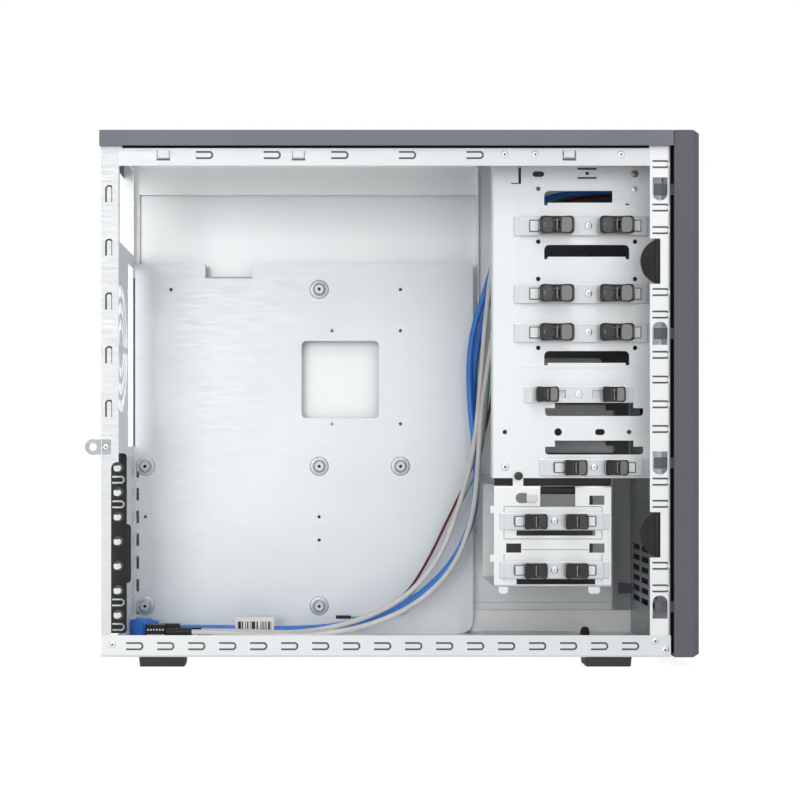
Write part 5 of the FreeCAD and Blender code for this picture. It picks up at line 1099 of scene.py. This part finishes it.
opening_shades_and_plates = Shape()
opening_shades_and_plates.prism("Y", EMBOSS_FACE - MARK_RISE, EMBOSS_FACE + MARK_RISE, OVAL_OPENING_SHADE)
bridge_depths = (BRIDGE_FACE - MARK_RISE, BRIDGE_FACE + MARK_RISE)
for gap_level in (BRIDGE_MIDDLE - BRIDGE_EDGE, BRIDGE_MIDDLE + BRIDGE_EDGE):
    opening_shades_and_plates.bar((BRIDGE_LEFT, BRIDGE_RIGHT), bridge_depths, gap_level, BRIDGE_GAP_HALF)
bridge_hole = round_outline((BRIDGE_LEFT + BRIDGE_RIGHT) / 2, BRIDGE_MIDDLE, BRIDGE_HOLE_RADIUS)
opening_shades_and_plates.prism("Y", *bridge_depths, bridge_hole)
opening_shades_and_plates.paint = 1
opening_shades_and_plates.block(*BAY_TAB)
opening_shades_and_plates.block(*WINDOW_PLATE)
opening_shades_and_plates.piece("bay_wall_opening_shades_and_plates", [black_wire_and_opening_shade, zinc], "chassis", "zinc_steel")


# Handle, raised frames, lugs and latch slot of the drive cage, and the painted shade in the gap above it

HANDLE_BAR_HALF = 3
HANDLE_FOOT = 5
HANDLE_ROUNDING = 0.3
HANDLE_SECTION = (
    (-1, -1.6), (-0.8, -2.6), (-0.5, -3), (0.6, -3), (1, -2.2),
    (1, 2.2), (0.6, 3), (-0.5, 3), (-0.8, 2.6), (-1, 1.6),
)
CAGE_FACE = -56
FRAME_LINE_HALF = 0.3
FRAME_LINE_RISE = 0.15
FRAME_LINES = ((93.7, 174.2, 127.4), (93.7, 174.2, 100.8), (108.4, 163.4, 92))
FRAME_POSTS = (93.7, 174.2)
FRAME_POST_SPANS = ((101.1, 127.1), (66, 88.5))
LUGS = ((89.3, 97), (163, 172.6))
LUG_TOP, LUG_SHOULDER, LUG_TIP = 61.4, 57.4, 55.8
LUG_CHAMFER = 1.6
LUG_DEPTHS = (CAGE_FACE + 0.2, CAGE_FACE + 0.9)
SLOT_END_PLACE = (103.4, 134.4)
SLOT_END = ((9, -4.2), (3, -4.2), (0.9, -3), (0, -1), (0, 1), (0.9, 3), (3, 4.2), (9, 4.2))
LATCH_SHADE = ((124, CAGE_FACE + 1, 126.5), (154, CAGE_FACE + 1.6, 141))
CAGE_GAP_SHADE = ((86, -53.6, 145), (182, -52.6, 150.8))


def cage_handle():
    """The cage's pull bar on its two feet; the feet are in dark steel that paints the shade of the handle
    notch's sides.
    """
    low, high = node_box("hdd_cage_handle")
    deep = (high.y - low.y) / 2
    bar_middle = high.z - HANDLE_BAR_HALF
    handle = Shape()
    section = [(low.y + deep + u * deep, bar_middle + v) for u, v in HANDLE_SECTION]
    handle.prism("X", low.x, high.x, section)
    handle.paint = 1
    for edge in (low.x, high.x - HANDLE_FOOT):
        handle.block((edge, low.y + deep, low.z), (edge + HANDLE_FOOT, high.y, bar_middle - HANDLE_BAR_HALF))
    piece = handle.piece("cage_handle_bar", [satin_black, notch_shade], "chassis", "black_plastic",
                         HANDLE_ROUNDING)
    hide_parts("hdd_cage_handle")


def cage_trim():
    """Raised frame lines in darker zinc that paints their shading, lugs, a dark plate that paints the shade
    in the end of the latch slot, and a dark plate that paints the shade behind the latch.
    """
    trim = Shape()
    line_front = CAGE_FACE - FRAME_LINE_RISE
    for left, right, level in FRAME_LINES:
        trim.bar((left, right), (line_front, CAGE_FACE), level, FRAME_LINE_HALF)
    for low_z, high_z in FRAME_POST_SPANS:
        for x in FRAME_POSTS:
            trim.block((x - FRAME_LINE_HALF, line_front, low_z), (x + FRAME_LINE_HALF, CAGE_FACE, high_z))
    trim.paint = 1
    for left, right in LUGS:
        trim.prism("Y", *LUG_DEPTHS, [
            (left, LUG_TOP), (left, LUG_SHOULDER), (left + LUG_CHAMFER, LUG_TIP),
            (right - LUG_CHAMFER, LUG_TIP), (right, LUG_SHOULDER), (right, LUG_TOP)])
    trim.paint = 2
    slot_end = [(SLOT_END_PLACE[0] + u, SLOT_END_PLACE[1] + v) for u, v in SLOT_END]
    trim.prism("Y", CAGE_FACE - MARK_RISE, CAGE_FACE + MARK_RISE, slot_end)
    trim.block(*LATCH_SHADE)
    trim.piece("drive_cage_trim", [painted_shade_zinc, zinc, notch_shade], "chassis", "zinc_steel")


cage_handle()
cage_trim()
# Painted shade: a black block fills the dark gap between the cage's top and the bay wall.
block_piece("cage_gap_shade", [CAGE_GAP_SHADE], satin_black, "black_plastic")


# Rolled lip of the tray's notch, in darker zinc that paints its shading, and a dark strip that paints the
# shade in the seam at the tray's rear edge

NOTCH_LIP = ((-159.4, TRAY_FACE - 0.8, 325.8), (-117.6, TRAY_FACE, 327))
NOTCH_LIP_ROUNDING = 0.3
REAR_SEAM = ((-223, TRAY_FACE - 0.2, 176), (-221.7, TRAY_FACE + 0.8, 326))

block_piece("tray_notch_lip", [NOTCH_LIP], painted_shade_zinc, "zinc_steel", NOTCH_LIP_ROUNDING)
block_piece("tray_rear_seam", [REAR_SEAM], shadow_steel, "zinc_steel")


# Front sockets on their board

SOCKET_PLACES = (-20, 0, 20, 40)
SOCKET_LEVEL = 403
SOCKET_HALF_WIDTH, SOCKET_HALF_HEIGHT = 6.4, 2.9
SOCKET_WALL = 0.5
SOCKET_BACK = 1
SOCKET_TONGUE_HALF = 4.6
SOCKET_TONGUE_LEVELS = (SOCKET_LEVEL + 0.2, SOCKET_LEVEL + 1.7)
SOCKET_TONGUE_INSET = 0.8
BOARD_THICKNESS = 1.6


def front_sockets():
    """The port board with four steel socket shells and their black tongues."""
    low, high = node_box("front_port_board")
    face = low.x + BOARD_THICKNESS
    bottom, top = SOCKET_LEVEL - SOCKET_HALF_HEIGHT, SOCKET_LEVEL + SOCKET_HALF_HEIGHT
    shape = Shape()
    shape.block(low, (face, high.y, high.z))
    for y in SOCKET_PLACES:
        left, right = y - SOCKET_HALF_WIDTH, y + SOCKET_HALF_WIDTH
        inner_left, inner_right = left + SOCKET_WALL, right - SOCKET_WALL
        shape.paint = 1
        for edge in (left, inner_right):
            shape.block((face, edge, bottom), (high.x, edge + SOCKET_WALL, top))
        for edge in (bottom, top - SOCKET_WALL):
            shape.block((face, inner_left, edge), (high.x, inner_right, edge + SOCKET_WALL))
        shape.paint = 2
        back = face + SOCKET_BACK
        shape.block((face, inner_left, bottom + SOCKET_WALL), (back, inner_right, top - SOCKET_WALL))
        shape.block((back, y - SOCKET_TONGUE_HALF, SOCKET_TONGUE_LEVELS[0]),
                    (high.x - SOCKET_TONGUE_INSET, y + SOCKET_TONGUE_HALF, SOCKET_TONGUE_LEVELS[1]))
    piece = shape.piece("front_sockets", [board_green, rivet_zinc, satin_black], "chassis", "circuit_board")
    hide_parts("front_port_board")


front_sockets()


# Tabs of the slot covers, seen through the card retainer, over dark discs that paint the shade in its holes

TAB_X = -224.4
TAB_TOP = 159.3
CARD_PITCH = 20.32
CARD_SLOTS = 7
TAB_INSET = 0.05
TAB_HOLE_RADIUS, TAB_HOLE_SIDES, TAB_HOLE_RISE = 4.3, 16, 0.25
TAB_TONGUE = ((-4, -3.4), (0.4, -3.2), (2.3, -1.6), (2.3, 0.6), (0.9, 1.9), (-0.6, 1.3), (-4, 1.5))
TAB_TONGUE_RISES = (0.75, 0.2)
TAB_PIN_PLACE = (0.6, 0.2)
TAB_PIN_RADIUS, TAB_PIN_SIDES = 1.2, 10
TAB_PIN_RISES = (1.2, 0.7)
TAB_ROUNDING = 0.15

tabs = Shape()
tab_face = node_box("card_retainer")[1].y - TAB_INSET
for index in range(CARD_SLOTS):
    level = TAB_TOP - CARD_PITCH * index
    # Painted shade: a dark disc in each of the retainer's holes.
    tabs.paint = 0
    tabs.prism("Y", tab_face - TAB_HOLE_RISE, tab_face,
               round_outline(TAB_X, level, TAB_HOLE_RADIUS, TAB_HOLE_SIDES))
    tabs.paint = 1
    tabs.prism("Y", *[tab_face - rise for rise in TAB_TONGUE_RISES],
               [(TAB_X + u, level + v) for u, v in TAB_TONGUE])
    pin = round_outline(TAB_X + TAB_PIN_PLACE[0], level + TAB_PIN_PLACE[1], TAB_PIN_RADIUS, TAB_PIN_SIDES)
    tabs.prism("Y", *[tab_face - rise for rise in TAB_PIN_RISES], pin)
tabs.piece("slot_cover_tabs", [shadow_steel, zinc], "chassis", "zinc_steel", TAB_ROUNDING)


# Light, floor and background

LAMP_AIM = Vector((0, 0, 0.2))
WORLD_LIGHT = 0.32
FLOOR_REACH = 12
FLOOR_GLOW = 1.65
FLOOR_GLOW_SHARE = 0.52


def lamp(name, place, size, power):
    """A soft square lamp aimed at the case."""
    data = bpy.data.lights.new(name, "AREA")
    data.shape = "SQUARE"
    data.size = size
    data.energy = power
    holder = bpy.data.objects.new(name, data)
    holder.location = place
    holder.rotation_euler = (LAMP_AIM - Vector(place)).to_track_quat("-Z", "Y").to_euler()
    bpy.context.collection.objects.link(holder)


def seen_directly(tree):
    """One where a ray comes from the camera, a mirror or clear glass."""
    rays = tree.nodes.new("ShaderNodeLightPath")
    total = rays.outputs["Is Camera Ray"]
    for name in ("Is Glossy Ray", "Is Transmission Ray"):
        either = tree.nodes.new("ShaderNodeMath")
        either.operation = "MAXIMUM"
        tree.links.new(total, either.inputs[0])
        tree.links.new(rays.outputs[name], either.inputs[1])
        total = either.outputs["Value"]
    return total


lamp("front_left_lamp", (-1.1, -4.0, 0.65), 1.2, 27)
lamp("front_high_lamp", (0.4, -3.0, 2.6), 1.4, 24)
lamp("front_right_lamp", (1.9, -3.0, 0.9), 0.9, 5)
lamp("top_lamp", (0.0, -0.6, 2.2), 1.6, 8)
lamp("rear_lamp", (-0.9, 2.4, 1.2), 1.6, 18)

world = bpy.data.worlds.new("studio")
bpy.context.scene.world = world
world.use_nodes = True
backdrop = world.node_tree.nodes["Background"]
backdrop.inputs["Color"].default_value = (1, 1, 1, 1)
brightness = world.node_tree.nodes.new("ShaderNodeMapRange")
brightness.inputs["To Min"].default_value = WORLD_LIGHT
brightness.inputs["To Max"].default_value = 1.0
world.node_tree.links.new(seen_directly(world.node_tree), brightness.inputs["Value"])
world.node_tree.links.new(brightness.outputs["Result"], backdrop.inputs["Strength"])

floor_mesh = bpy.data.meshes.new("studio_floor")
floor_corners = [(x * FLOOR_REACH, y * FLOOR_REACH, 0) for x, y in ((-1, -1), (1, -1), (1, 1), (-1, 1))]
floor_mesh.from_pydata(floor_corners, [], [(0, 1, 2, 3)])
studio_floor = bpy.data.objects.new("studio_floor", floor_mesh)
bpy.context.collection.objects.link(studio_floor)
floor_finish = Finish("floor_paper", (0.86, 0.86, 0.86), 0.9)
glow = floor_finish.node("ShaderNodeEmission")
glow.inputs["Strength"].default_value = FLOOR_GLOW
share = floor_finish.math("MULTIPLY", seen_directly(floor_finish.tree), FLOOR_GLOW_SHARE)
blend = floor_finish.node("ShaderNodeMixShader")
floor_finish.link(share, blend.inputs[0])
floor_finish.link(floor_finish.shader.outputs["BSDF"], blend.inputs[1])
floor_finish.link(glow.outputs["Emission"], blend.inputs[2])
floor_finish.link(blend.outputs["Shader"], floor_finish.tree.nodes["Material Output"].inputs["Surface"])
floor_mesh.materials.append(floor_finish.material)

bpy.context.scene.view_settings.view_transform = "Standard"
